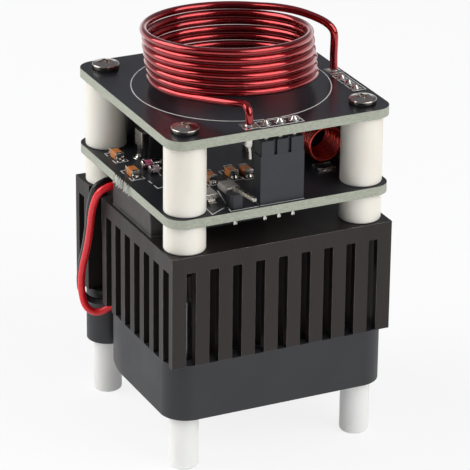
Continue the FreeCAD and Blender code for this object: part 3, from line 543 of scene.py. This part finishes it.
# %% Boards
for node, mask in (("driver_board", satin_mask), ("coil_board", solder_mask)):
    mesh = clean_copy(node, node + "_lacquered")
    piece = place_piece(mesh.name, mesh, "chassis", "solder_mask_black", mask, laminate_edge)
    for face in mesh.polygons:
        face.material_index = 0 if abs(face.normal.z) > 0.5 else 1
    bevelled(piece, 0.04, angle=40)
    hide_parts(node)
print("boards dressed")

# %% [markdown]
# The lower board was snapped out of its panel along a row of small holes. The walls of the half
# holes carry painted shade: a dark finish for the shadow inside them. Between the holes the glass
# fibres tore, and pale slivers still stand out from the edge. Each is a thin wedge that leans its
# own way.

# %% Torn fibres at the snapped edge
torn_pitch_mm, torn_count, torn_first_mm, torn_reach_mm = 0.8, 9, -3.2, 4
edge_mesh = bpy.data.meshes["driver_board_lacquered"]
# The half-hole faces along the snapped edge take the dark painted-shade finish.
edge_mesh.materials.append(painted_gap_shade)
for face in edge_mesh.polygons:
    inside = mm(-half_board + 0.4) > face.center.x > mm(-half_board + 0.005)
    if inside and abs(face.normal.z) < 0.5 and abs(face.center.y) < mm(torn_reach_mm):
        face.material_index = 2

bm = bmesh.new()
root = -half_board + 0.1
for i in range(torn_count * 2):
    lean = math.sin(5.1 * i) * 0.14
    y = torn_first_mm + (i // 2) * torn_pitch_mm + (0.09 if i % 2 else -0.09)
    out = 0.32 + 0.18 * math.sin(3.9 * i + 1.0)
    half = 0.06 + 0.02 * math.sin(7.7 * i)
    top, low = board_top - 0.06, board_under - 0.12 + 0.16 * math.sin(4.3 * i)
    ring = [bm.verts.new(at(*corner)) for corner in (
        (root, y - half, top), (root, y + half, top),
        (-half_board - out * 0.5, y + lean, top - 0.15),
        (root, y - half + lean, low + 0.3), (root, y + half + lean, low + 0.3),
        (-half_board - out, y + lean * 1.6, low))]
    for corners in ((0, 1, 2), (3, 5, 4), (0, 2, 5, 3), (1, 4, 5, 2), (0, 3, 4, 1)):
        bm.faces.new([ring[k] for k in corners])
place_piece("torn_fibres", new_mesh("torn_fibres", bm), "chassis", "solder_mask_black", torn_glass)
print("torn fibres:", torn_count * 2)

# %% [markdown]
# **Wire** is a curve with thickness. A NURBS line of order 3 passes smoothly near its control
# points, and a round bevel gives it its gauge. `wire` makes one, for the coils and for the leads.

# %% A wire from points
def wire(name, points, diameter_mm, material, body, sides=6, resolution=4):
    """A round wire along a smooth line; points are in millimetres."""
    curve = bpy.data.curves.new(name, "CURVE")
    curve.dimensions = "3D"
    spline = curve.splines.new("NURBS")
    spline.points.add(len(points) - 1)
    for control, point in zip(spline.points, points):
        control.co = (*at(*point), 1)
    spline.order_u = 3
    spline.use_endpoint_u = True
    curve.resolution_u = resolution
    curve.bevel_depth = mm(diameter_mm / 2)
    curve.bevel_resolution = sides
    curve.use_fill_caps = True
    curve.materials.append(material)
    piece = bpy.data.objects.new(name, curve)
    bpy.context.scene.collection.objects.link(piece)
    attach(piece, body)
    return piece


# %% [markdown]
# **The primary coil** was wound by hand on a former and then pushed a little askew, so it leans
# and its turns are not perfectly even. Its line is a helix: the angle grows evenly, the height
# climbs one pitch a turn, and the whole is tilted and leaned. Small slow waves in the radius
# make the turns differ, as hand winding does. The first points come up out of the front pad,
# knee over and run into the winding; the last ones leave it and drop to the side pad.

# %% Primary coil
coil_wire_mm = 1.33
coil_radius_mm = 13.75
coil_pitch_mm = 1.385
coil_turns = 6.47
coil_start = math.radians(-149.1)
coil_centre = (-0.52, 0.23)
coil_foot_mm = 61.2 - deck_top
coil_middle_mm = 6.3
coil_tilt_share = (-0.024, -0.081)
coil_lean_share = (-0.117, 0.056)
points_per_turn = 48


def on_coil(turns):
    """A point of the winding after this many turns, which run clockwise seen from above."""
    angle = coil_start - 2 * math.pi * turns
    swell = 0.07 * math.sin(2.1 * angle) * math.sin(0.9 * turns + 0.4)
    radius = coil_radius_mm + (swell + 0.06 * math.sin(3.3 * turns))
    dx, dy = radius * math.cos(angle), radius * math.sin(angle)
    climb = coil_foot_mm + coil_pitch_mm * turns
    off = climb - coil_middle_mm
    lift = coil_tilt_share[0] * dx + coil_tilt_share[1] * dy
    return (coil_centre[0] + coil_lean_share[0] * off + dx,
            coil_centre[1] + coil_lean_share[1] * off + dy,
            deck_top + climb + lift)


coil_steps = round(coil_turns * points_per_turn)
winding = [on_coil(coil_turns * i / coil_steps) for i in range(coil_steps + 1)]
front_foot = (-5.5, -17.8)
side_foot = (18.5, -0.8)
front_lead = [
    (*front_foot, deck_under - 1.6), (*front_foot, deck_under), (*front_foot, deck_top + 1.0),
    (-5.5, -17.75, deck_top + 1.9), (-5.52, -17.4, deck_top + 2.75), (-5.6, -16.6, deck_top + 3.2),
    (-6.4, -15.75, deck_top + 3.3), (-7.6, -14.35, deck_top + 3.1),
]
side_lead = [
    (11.3, 7.3, deck_top + 9.8), (13.9, 4.35, deck_top + 9.75), (16.1, 1.9, deck_top + 9.1),
    (17.6, 0.2, deck_top + 8.3), (18.45, -0.75, deck_top + 7.1), (18.45, -0.78, deck_top + 5.2),
    (18.4, -0.75, deck_top + 3.2), (18.42, -0.78, deck_top + 1.2),
    (*side_foot, deck_under), (*side_foot, deck_under - 1.6),
]
print("coil starts", [round(c, 2) for c in winding[0]], "ends", [round(c, 2) for c in winding[-1]])
coil = wire("primary_winding", front_lead + winding + side_lead, coil_wire_mm, coil_enamel,
            "chassis", sides=8, resolution=3)
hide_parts("primary_coil")

# %% [markdown]
# **The choke** is a few close turns of thin orange-red wire, free of any former, standing on
# its two legs behind the right header. Its axis runs away from the viewer.

# %% Choke
choke_wire_mm = 0.6
choke_radius_mm = 2.95
choke_turns = 8.5
choke_pitch_mm = 0.71
choke_centre = (12.1, -11.0, board_top + 5.1)


def on_choke(turns):
    angle = 2 * math.pi * turns
    radius = choke_radius_mm + 0.05 * math.sin(2.3 * turns)
    return (choke_centre[0] + radius * math.cos(angle),
            choke_centre[1] + choke_pitch_mm * turns,
            choke_centre[2] + radius * math.sin(angle))


def choke_leg(x, y, z):
    """From an end of the winding straight down through the board."""
    return [(x, y, z - 0.8), (x, y, board_top + 2), (x, y, board_under - 0.8)]


choke_steps = 400
choke_points = [on_choke(choke_turns * i / choke_steps) for i in range(choke_steps + 1)]
first_leg, last_leg = choke_leg(*choke_points[0]), choke_leg(*choke_points[-1])
choke = wire("choke_winding", first_leg[::-1] + choke_points + last_leg, choke_wire_mm,
             choke_enamel, "chassis", sides=5, resolution=2)
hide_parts("choke_coil")
print("choke:", choke_turns, "turns")

# %% [markdown]
# ** The fan's leads** are free: soldered under the lower board, they bow out past its edge, hang
# down the side of the heat sink, curl under and go into the fan's housing. The points are the same
# that the model's tubes follow, and each lead's real length is listed with its route.

# %% Fan leads
lead_mm = 1.24
red_route = [
    (-16.5, 7.25, 44.5), (-16.5, 7.25, 43.1), (-17.6, 7.2, 42.2), (-19.6, 7.3, 41.9),
    (-21.2, 7.6, 41.0), (-21.6, 9.2, 37.4), (-21.4, 10.4, 33.4), (-21.3, 12.2, 28.9),
    (-21.9, 13.4, 24.2), (-22.1, 12.9, 20.3), (-21.6, 12.0, 17.8), (-19.6, 11.3, 16.8),
    (-17.2, 9.9, 18.82), (-14.0, 7.9, 18.82), (-10.3, 5.61, 18.82), (-6.6, 3.3, 18.82),
]
black_route = [
    (-16.5, 9.8, 44.5), (-16.5, 9.8, 43.1), (-17.6, 9.7, 42.2), (-19.6, 9.4, 42.0),
    (-21.1, 9.3, 41.2), (-21.4, 10.6, 37.5), (-21.1, 11.9, 33.6), (-21.0, 13.5, 29.1),
    (-21.3, 14.9, 24.8), (-21.5, 15.2, 21.2), (-21.2, 14.2, 19.0), (-19.2, 12.8, 18.2),
    (-16.7, 11.1, 18.82), (-13.2, 8.95, 18.82), (-9.5, 6.64, 18.82), (-5.8, 4.34, 18.82),
]
leads = [("red", red_route, red_pvc, 48.7), ("black", black_route, black_pvc, 47.9)]
for colour, route, material, length_mm in leads:
    piece = wire("fan_lead_" + colour + "_insulated", route, lead_mm, material, "chassis",
                 sides=8, resolution=16)
    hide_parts("fan_lead_" + colour)
    print(colour, "lead", length_mm, "mm")

# %% [markdown]
# **Chip parts** are tiny fired blocks with dipped metal ends. Each body and each cap is its own
# rounded box, the caps a hair larger, and solder climbs the end faces in a concave fillet. One
# function builds a chip at the place where its CAD node stands.

# %% Chip capacitors
def rounded_box(bm, low, high, radius, material_index):
    """A box with rounded edges, added to a mesh in the making."""
    before = set(bm.faces)
    made = bmesh.ops.create_cube(bm, size=1)
    for vert in made["verts"]:
        for axis in range(3):
            vert.co[axis] = (low[axis] + high[axis]) / 2 + vert.co[axis] * (high[axis] - low[axis])
    edges = list({e for v in made["verts"] for e in v.link_edges})
    bmesh.ops.bevel(bm, geom=edges, offset=radius, segments=3, affect="EDGES", profile=0.6)
    for face in bm.faces:
        if face not in before:
            face.material_index = material_index
            face.smooth = True


def end_fillet(bm, low, high, axis, side, height, reach, material_index):
    """Solder that climbs the end of a chip: a curved ramp from the board to the end face."""
    steps = 6
    other = 1 - axis
    end = high[axis] if side > 0 else low[axis]

    def pair(out, inset, rise):
        row = []
        for edge in (low[other] + inset, high[other] - inset):
            point = [0, 0, low[2] + rise]
            point[axis], point[other] = out, edge
            row.append(bm.verts.new(point))
        return row

    rows = []
    for share in (i / steps for i in range(steps + 1)):
        inset = (high[other] - low[other]) * 0.04 * share
        rows.append(pair(end + side * reach * share, inset, height * (1 - share) ** 2.4))
    foot = pair(end, 0, 0)
    faces = [bm.faces.new((a[0], a[1], b[1], b[0])) for a, b in zip(rows, rows[1:])]
    for k in (0, 1):
        faces.append(bm.faces.new([row[k] for row in rows] + [foot[k]]))
    faces.append(bm.faces.new((rows[0][0], rows[0][1], foot[1], foot[0])))
    faces.append(bm.faces.new((rows[-1][0], rows[-1][1], foot[1], foot[0])))
    for face in faces:
        face.material_index = material_index
        face.smooth = len(face.verts) == 4
    bmesh.ops.recalc_face_normals(bm, faces=faces)


def chip_part(node, low, high, cap_mm, slot, body_finish, axis=1, body_drop_mm=0.05):
    """A chip with its body, two caps and two solder fillets, in the place of its CAD node."""
    bm = bmesh.new()
    cap, drop = mm(cap_mm), mm(body_drop_mm)
    other = 1 - axis
    body_low, body_high = list(low), list(high)
    body_low[axis] += cap * 0.6
    body_high[axis] -= cap * 0.6
    body_low[other] += drop
    body_high[other] -= drop
    body_high[2] -= drop
    rounded_box(bm, body_low, body_high, mm(0.07), 0)
    for side in (-1, 1):
        cap_low, cap_high = list(low), list(high)
        if side > 0:
            cap_low[axis] = high[axis] - cap
        else:
            cap_high[axis] = low[axis] + cap
        rounded_box(bm, cap_low, cap_high, mm(0.12), 1)
        end_fillet(bm, low, high, axis, side, (high[2] - low[2]) * 0.55, mm(0.45), 2)
    mesh = new_mesh(node + "_chip", bm, face_outward=False)
    piece = place_piece(mesh.name, mesh, "chassis", slot, body_finish, tin, solder)
    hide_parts(node)


capacitors = ["chip_capacitor_" + str(i) for i in range(1, 6)]
for node in capacitors:
    chip_part(node, *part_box(node), 0.55, "chip_ceramic", ceramic)
chip_part("chip_resistor", *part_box("chip_resistor"), 0.45, "resistor_film", glaze)
print("chips:", len(capacitors), "capacitors, 1 resistor")

# %% [markdown]
# **Round diodes** are a glass tube between two metal caps. A revolved profile gives the caps
# their rounded rims and the glass its slight waist. Solder has run far up the right ends, so
# that cap is long and lumpy. The flat ones are moulded boxes with sloping sides on flat feet,
# which the CAD solids already have; their end faces are tinned.

# %% Diodes
def lathe(bm, profile, axis_origin, axis, steps, material_index):
    """Revolves (radius, distance) pairs round an axis; an end of radius 0 closes on the axis."""
    direction = Vector(axis).normalized()
    aside = direction.orthogonal().normalized()
    across = direction.cross(aside)
    rings = []
    for radius, reach in profile:
        centre = axis_origin + direction * mm(reach)
        if radius == 0:
            rings.append([bm.verts.new(centre)])
            continue
        ways = [aside * math.cos(a) + across * math.sin(a)
                for a in (2 * math.pi * i / steps for i in range(steps))]
        rings.append([bm.verts.new(centre + way * mm(radius)) for way in ways])
    for lower, upper in zip(rings, rings[1:]):
        for i in range(steps):
            j = (i + 1) % steps
            corners = []
            for point in (lower[i % len(lower)], lower[j % len(lower)],
                          upper[j % len(upper)], upper[i % len(upper)]):
                if point not in corners:
                    corners.append(point)
            if len(corners) > 2:
                face = bm.faces.new(corners)
                face.material_index = material_index
                face.smooth = True


def round_diode(node, glass, glass_end_mm):
    """A short left cap, the glass, and a long right cap under lumpy solder."""
    low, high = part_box(node)
    start = Vector((low.x, (low.y + high.y) / 2, (low.z + high.z) / 2))
    length = (high.x - low.x) / MM
    radius = (high.z - low.z) / 2 / MM
    cap, rim, steps, lump_count = 0.45, 0.1, 28, 8
    along = (1, 0, 0)
    bm = bmesh.new()
    near = [(0, 0), (radius - rim, 0), (radius, rim), (radius, cap - 0.04),
            (radius - 0.04, cap), (radius - 0.12, cap)]
    lathe(bm, near, start, along, steps, 1)
    lumps = [(radius - 0.13, glass_end_mm), (radius - 0.02, glass_end_mm + 0.08)]
    for share in (i / lump_count for i in range(1, lump_count)):
        swell = 0.05 * math.sin(9 * share + radius) * math.sin(math.pi * share)
        place = glass_end_mm + 0.08 + share * (length - glass_end_mm - 0.3)
        lumps.append((radius - 0.05 + swell, place))
    lumps += [(radius - 0.06, length - 0.14), (radius - 0.2, length), (0, length)]
    lathe(bm, lumps, start, along, steps, 2)
    glass_profile = [(radius - 0.14, cap - 0.2), (radius - 0.05, cap + 0.12),
                     (radius - 0.08, (cap + glass_end_mm) / 2),
                     (radius - 0.05, glass_end_mm - 0.12), (radius - 0.14, glass_end_mm + 0.2)]
    lathe(bm, glass_profile, start, along, steps, 0)
    mesh = new_mesh(node + "_glass", bm)
    piece = place_piece(mesh.name, mesh, "chassis", "diode_glass", glass, tin, solder)
    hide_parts(node)


round_diode("glass_diode_1", rose_glass, 1.7)
round_diode("glass_diode_2", grey_glass, 1.5)
foot_height_mm, foot_reach_mm = 0.36, 0.45
for node in ("moulded_diode_1", "moulded_diode_2"):
    mesh = clean_copy(node, node + "_moulded")
    piece = place_piece(mesh.name, mesh, "chassis", "moulded_epoxy", grey_case, tin)
    low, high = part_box(node)
    foot_top = low.z + mm(foot_height_mm)
    body_end = (high.y - low.y) / 2 - mm(foot_reach_mm)
    for face in mesh.polygons:
        off_middle = abs(face.center.y - (low.y + high.y) / 2)
        on_foot = face.center.z < foot_top and off_middle > body_end
        face.material_index = 1 if on_foot or abs(face.normal.y) > 0.5 else 0
    bevelled(piece, 0.06, angle=20)
    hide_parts(node)
print("diodes: 2 glass, 2 moulded")

# %% [markdown]
# **Solder joints** rise round each pin in a concave cone, with a thin ring of tinned copper at
# the foot. A joint is a revolved curve. The two coil pads are tinned squares with a mound of
# solder. The joints on the boards' undersides are the same form turned over.

# %% Solder joints
joint_steps = 24


def joint(bm, x, y, z, direction, foot, tip, height, pad, swell=2.1):
    """One joint: a thin pad ring, then a concave rise to the pin."""
    profile = [(pad, -0.02), (pad, 0.03), (foot, 0.05)]
    for i in range(1, 7):
        share = i / 6
        profile.append((tip + (foot - tip) * (1 - share) ** swell, 0.05 + height * share))
    profile += [(tip * 0.7, height * 1.08), (0, height * 1.12)]
    lathe(bm, profile, at(x, y, z), (0, 0, direction), joint_steps, 0)


def joints_piece(name, joints):
    bm = bmesh.new()
    for values in joints:
        joint(bm, *values)
    return place_piece(name, new_mesh(name, bm), "chassis", "solder", solder)


pin_pitch = 2.54
angle_pin_place = (-7.9, -17.8)
front_pins = [(-0.1 + pin_pitch * i, -18.0) for i in (-1, 0, 1)]
side_pins = [(18.0, -7.1 + pin_pitch * i) for i in (-1, 0, 1)]
pins = front_pins + side_pins
deck_joints = [(*pin, deck_top, 1, 0.84, 0.24, 0.72, 1.0, 1.15) for pin in pins]
joints_piece("upper_board_joints", deck_joints)
under_deck = [(*pin, deck_under, -1, 0.7, 0.45, 0.5, 0.9) for pin in pins]
under_deck += [(*foot, deck_under, -1, 0.95, 0.72, 1.9, 1.1) for foot in (front_foot, side_foot)]
joints_piece("upper_board_under_joints", under_deck)
under_board = [(*pin, board_under, -1, 0.85, 0.34, 1.5, 1.0) for pin in pins + [angle_pin_place]]
lugs_low, lugs_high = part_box("power_jack_lugs")
lug_places = [(lugs_low.x / MM + 0.15, 7.9), (lugs_high.x / MM - 1.4, lugs_low.y / MM + 0.15)]
lug_joints = [(x, y, board_top, 1, 0.8, 0.5, 0.5, 1.1) for x, y in lug_places]
lug_joints += [(x, y, board_under, -1, 0.9, 0.45, 0.9, 1.2) for x, y in lug_places]
joints_piece("power_jack_joints", lug_joints)
joints_piece("lower_board_under_joints", under_board)
wire("front_foot_tail", [(-5.45, -17.8, deck_under - 1.5), (-5.4, -17.8, deck_under - 2.2),
                         (-5.2, -17.8, deck_under - 3.2), (-5.2, -17.8, deck_under - 4.1)],
     0.62, tin, "chassis")
print("joints:", len(deck_joints + under_deck + under_board + lug_joints))

# %% [markdown]
# The angled pin was dipped, so its end is a smooth round tip. It is revolved along the way from
# the pin's foot to the far end of its box.

# %% Angled pin's tip
tip_radius_mm, tip_length_mm, tip_steps = 0.36, 0.84, 20
tip_low, tip_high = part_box("angle_header_pin")
tip_foot = at(*angle_pin_place, 0)
tip_end = Vector((tip_high.x - mm(tip_radius_mm), tip_low.y, 0))
tip_way = (tip_end - tip_foot).normalized()
tip_end += Vector((0, mm(0.03), tip_high.z - mm(0.32)))
bm = bmesh.new()
tip_profile = [(0.3, -0.1), (tip_radius_mm, 0.0), (tip_radius_mm, 0.5), (0.32, 0.68), (0.2, 0.8),
               (0, tip_length_mm)]
lathe(bm, tip_profile, tip_end - tip_way * mm(tip_length_mm), tip_way, tip_steps, 0)
place_piece("angle_pin_tip", new_mesh("angle_pin_tip", bm), "chassis", "tinned_metal", solder)
print("pin tip at", [round(c / MM, 2) for c in tip_end])

# %% Coil pads
pad_half_mm = 1.35


def coil_pad(bm, x, y):
    """A tinned square and the mound of solder that holds the wire."""
    low = at(x - pad_half_mm, y - pad_half_mm, deck_top - 0.01)
    high = at(x + pad_half_mm, y + pad_half_mm, deck_top + 0.08)
    rounded_box(bm, low, high, mm(0.03), 0)
    mound = [(1.15, 0.05), (1.0, 0.12), (0.87, 0.19), (0.76, 0.28), (0.7, 0.38), (0.6, 0.4)]
    lathe(bm, mound, at(x, y, deck_top), (0, 0, 1), joint_steps, 0)


bm = bmesh.new()
for foot in (front_foot, side_foot):
    coil_pad(bm, *foot)
pads = place_piece("coil_pads", new_mesh("coil_pads", bm, face_outward=False), "chassis",
                   "solder", solder)
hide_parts("coil_board_solder")
print("coil pads: 2")

# %% [markdown]
# **Printed ink** on the boards: a white ring round the coil, outlines round the headers and
# brackets round the small parts. Each is a strip of ink 0.17 mm wide that stands two hundredths
# of a millimetre proud. `strip` offsets a line to both sides with mitred corners.

# %% Printed ink
ink_proud_mm = 0.02


def strip(bm, points, width_mm, height_mm, closed=False):
    """A flat raised line through points, in millimetres, at one height."""
    flat = [Vector((mm(x), mm(y))) for x, y in points]
    count = len(flat)
    sides = []
    for i, point in enumerate(flat):
        before = flat[i - 1] if closed or i else None
        after = flat[(i + 1) % count] if closed or i < count - 1 else None
        way_in = (point - before).normalized() if before is not None else None
        way_out = (after - point).normalized() if after is not None else way_in
        way_in = way_in or way_out
        middle = (way_in + way_out).normalized()
        normal = Vector((-middle.y, middle.x))
        reach = mm(width_mm) / 2 / max(0.4, middle.dot(way_in))
        sides.append((point + normal * reach, point - normal * reach))
    top = mm(height_mm + ink_proud_mm)
    low = mm(height_mm - ink_proud_mm)
    rings = [[bm.verts.new((*p, z)) for p, z in ((a, low), (a, top), (b, top), (b, low))]
             for a, b in sides]
    following = rings[1:] + rings[:1] if closed else rings[1:]
    for one, two in zip(rings, following):
        for k in range(4):
            bm.faces.new((one[k], one[(k + 1) % 4], two[(k + 1) % 4], two[k]))
    if not closed:
        bm.faces.new(rings[0])
        bm.faces.new(rings[-1])


def outline(x0, y0, x1, y1):
    return [(x0, y0), (x1, y0), (x1, y1), (x0, y1)]


def bracket(x, y, half_x, half_y, side):
    """The printed bracket at one end of a chip whose length runs along Y."""
    end = y + side * half_y
    back_off = y + side * half_y * 0.45
    return [(x - half_x, back_off), (x - half_x, end), (x + half_x, end), (x + half_x, back_off)]


def ink_piece(name, height_mm, closed_lines, open_lines, width_mm=0.17):
    bm = bmesh.new()
    for line in closed_lines:
        strip(bm, line, width_mm, height_mm, closed=True)
    for line in open_lines:
        strip(bm, line, width_mm, height_mm)
    return place_piece(name, new_mesh(name, bm), "chassis", "solder_mask_black", board_ink)


ring_radius_mm = 16.65
ring_x, ring_y = -0.1, 0.3
ring_steps = 180
ring_angles = [2 * math.pi * i / ring_steps for i in range(ring_steps)]
ring_line = [(ring_x + ring_radius_mm * math.cos(a), ring_y + ring_radius_mm * math.sin(a))
             for a in ring_angles]
deck_outlines = [ring_line, outline(-4.1, -19.4, 3.55, -16.8), outline(17.1, -10.6, 19.4, -2.9)]
ink_piece("upper_board_ink", deck_top, deck_outlines, [])

chip_brackets = []
for node in capacitors:
    low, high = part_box(node)
    x, y = (low.x + high.x) / 2 / MM, (low.y + high.y) / 2 / MM
    for side in (-1, 1):
        chip_brackets.append(bracket(x, y, 1.15, 2.3, side))
board_outlines = [outline(-4.0, -19.3, 3.85, -16.7), outline(17.0, -11.0, 19.4, -3.2)]
ink_piece("lower_board_ink", board_top, board_outlines, chip_brackets + [
    [(-7.65, -10.7), (-9.4, -19.4), (-4.3, -19.35)],
    [(-12.45, -16.25), (-12.65, -19.4), (-9.75, -17.65)],
    [(-13.25, 7.85), (-13.3, 6.1), (-10.4, 6.15)],
    [(-12.8, 3.45), (-13.1, 2.0), (-13.5, -1.1)],
    [(-16.3, -2.3), (-16.2, -3.5)], [(-16.25, -4.45), (-16.2, -5.9), (-15.2, -5.65)],
])
print("ink: ring, outlines and", len(chip_brackets), "brackets")

# %% [markdown]
# **Floor, world and lamps.** The object stands on a plain pale floor in front of white. Two large
# soft lamps stand left and right of the camera, as in a small photo tent with a pale ceiling.
# They are what the enamel and the screws mirror. Only the background that the camera, mirrors
# and glass see is pure white; the light that reaches the object is plainer. `background_rays`
# tells those rays from the light's.

# %% Floor
def background_rays(tree):
    """1 for rays from the camera, glass or a mirror, and 0 for the light's own."""
    rays = add(tree, "ShaderNodeLightPath").outputs
    seen = rays["Is Camera Ray"]
    for kind in ("Is Transmission Ray", "Is Glossy Ray"):
        seen = add(tree, "ShaderNodeMath", {"operation": "MAXIMUM"},
                   {0: seen, 1: rays[kind]}).outputs[0]
    return rays, seen


floor_half = mm(3000)
glow_share = 0.84
mesh = bpy.data.meshes.new("floor")
mesh.from_pydata([(-floor_half, -floor_half, 0), (floor_half, -floor_half, 0),
                  (floor_half, floor_half, 0), (-floor_half, floor_half, 0)], [], [(0, 1, 2, 3)])
floor = bpy.data.objects.new("floor", mesh)
bpy.context.scene.collection.objects.link(floor)
floor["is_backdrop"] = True
floor_paint = bpy.data.materials.new("matt_white_paper")
floor_paint.use_nodes = True
tree = floor_paint.node_tree
tree.nodes.clear()
rays, seen = background_rays(tree)
paper = add(tree, "ShaderNodeBsdfDiffuse", {"Color": linear("#F2F2F2")}).outputs[0]
glow = add(tree, "ShaderNodeEmission", {"Strength": 1.0}).outputs[0]
seen = add(tree, "ShaderNodeMath", {"operation": "MULTIPLY", 1: glow_share}, {0: seen}).outputs[0]
blended = add(tree, "ShaderNodeMixShader", links={0: seen, 1: paper, 2: glow}).outputs[0]
add(tree, "ShaderNodeOutputMaterial", links={"Surface": blended})
floor.data.materials.append(floor_paint)
print("floor laid")

# %% [markdown]
# The world is white at the horizon. Above it the sky darkens behind the object and more so in
# front, and a paler ceiling closes the tent. Camera rays see only white.

# %% World
def smooth(tree, value, start, end):
    """0 below the start, 1 past the end, and a soft step between them."""
    settings = {"From Min": start, "From Max": end, "interpolation_type": "SMOOTHSTEP"}
    return add(tree, "ShaderNodeMapRange", settings, {"Value": value}).outputs[0]


def turned(tree, share, colour, code):
    """The colour, turned to the hex colour by a share."""
    settings = {"data_type": "RGBA", 7: linear(code)}
    return add(tree, "ShaderNodeMix", settings, {0: share, 6: colour}).outputs[2]


world = bpy.data.worlds.new("studio")
bpy.context.scene.world = world
world.use_nodes = True
tree = world.node_tree
tree.nodes.clear()
rays, seen = background_rays(tree)
direction = add(tree, "ShaderNodeTexCoord").outputs["Generated"]
parts = add(tree, "ShaderNodeSeparateXYZ", links={0: direction}).outputs
behind = add(tree, "ShaderNodeVectorMath", {"operation": "DOT_PRODUCT", 1: (-back.x, -back.y, 0)},
             {0: direction}).outputs["Value"]
back_sky = {"data_type": "RGBA", 6: linear("#FFFFFF"), 7: linear("#7C7C82")}
sky = add(tree, "ShaderNodeMix", back_sky, {0: smooth(tree, parts["Z"], 0.06, 0.26)}).outputs[2]
sky = turned(tree, smooth(tree, behind, 0.5, -0.1), sky, "#404046")
sky = turned(tree, smooth(tree, parts["Z"], 0.77, 0.9), sky, "#8E8E94")
white = turned(tree, rays["Is Camera Ray"], sky, "#FFFFFF")
backdrop = add(tree, "ShaderNodeBackground", {"Strength": 1.0}, {"Color": white}).outputs[0]
fill = add(tree, "ShaderNodeBackground", {"Color": linear("#F4F6FA"), "Strength": 0.3}).outputs[0]
mixed = add(tree, "ShaderNodeMixShader", links={0: seen, 1: fill, 2: backdrop}).outputs[0]
add(tree, "ShaderNodeOutputWorld", links={"Surface": mixed})
print("world: white backdrop, grey fill")

# %% Lamps
def soft_box(name, azimuth, elevation, distance_mm, width_mm, height_mm, watts):
    """A soft rectangular lamp aimed at the object; azimuth is from the camera's."""
    a = view_azimuth + math.radians(azimuth)
    e = math.radians(elevation)
    away = Vector((math.sin(a) * math.cos(e), -math.cos(a) * math.cos(e), math.sin(e)))
    lamp = bpy.data.lights.new(name, "AREA")
    lamp.shape = "RECTANGLE"
    lamp.size = mm(width_mm)
    lamp.size_y = mm(height_mm)
    lamp.energy = watts
    holder = bpy.data.objects.new(name, lamp)
    holder.location = at(0, 0, 40) + away * mm(distance_mm)
    holder.rotation_mode = "QUATERNION"
    holder.rotation_quaternion = away.to_track_quat("Z", "Y")
    bpy.context.scene.collection.objects.link(holder)


soft_box("left_box", -90, 34, 600, 600, 480, 3.2)
soft_box("right_box", 57, 34, 600, 560, 480, 2.6)
print("lamps: left and right")

# %% [markdown]
# The view transform stays Standard, so that the hex colours above come out as they are written.
# Last, the bounds of the dressed object are measured.

# %% Finish
bpy.context.scene.view_settings.view_transform = "Standard"
low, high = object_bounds()
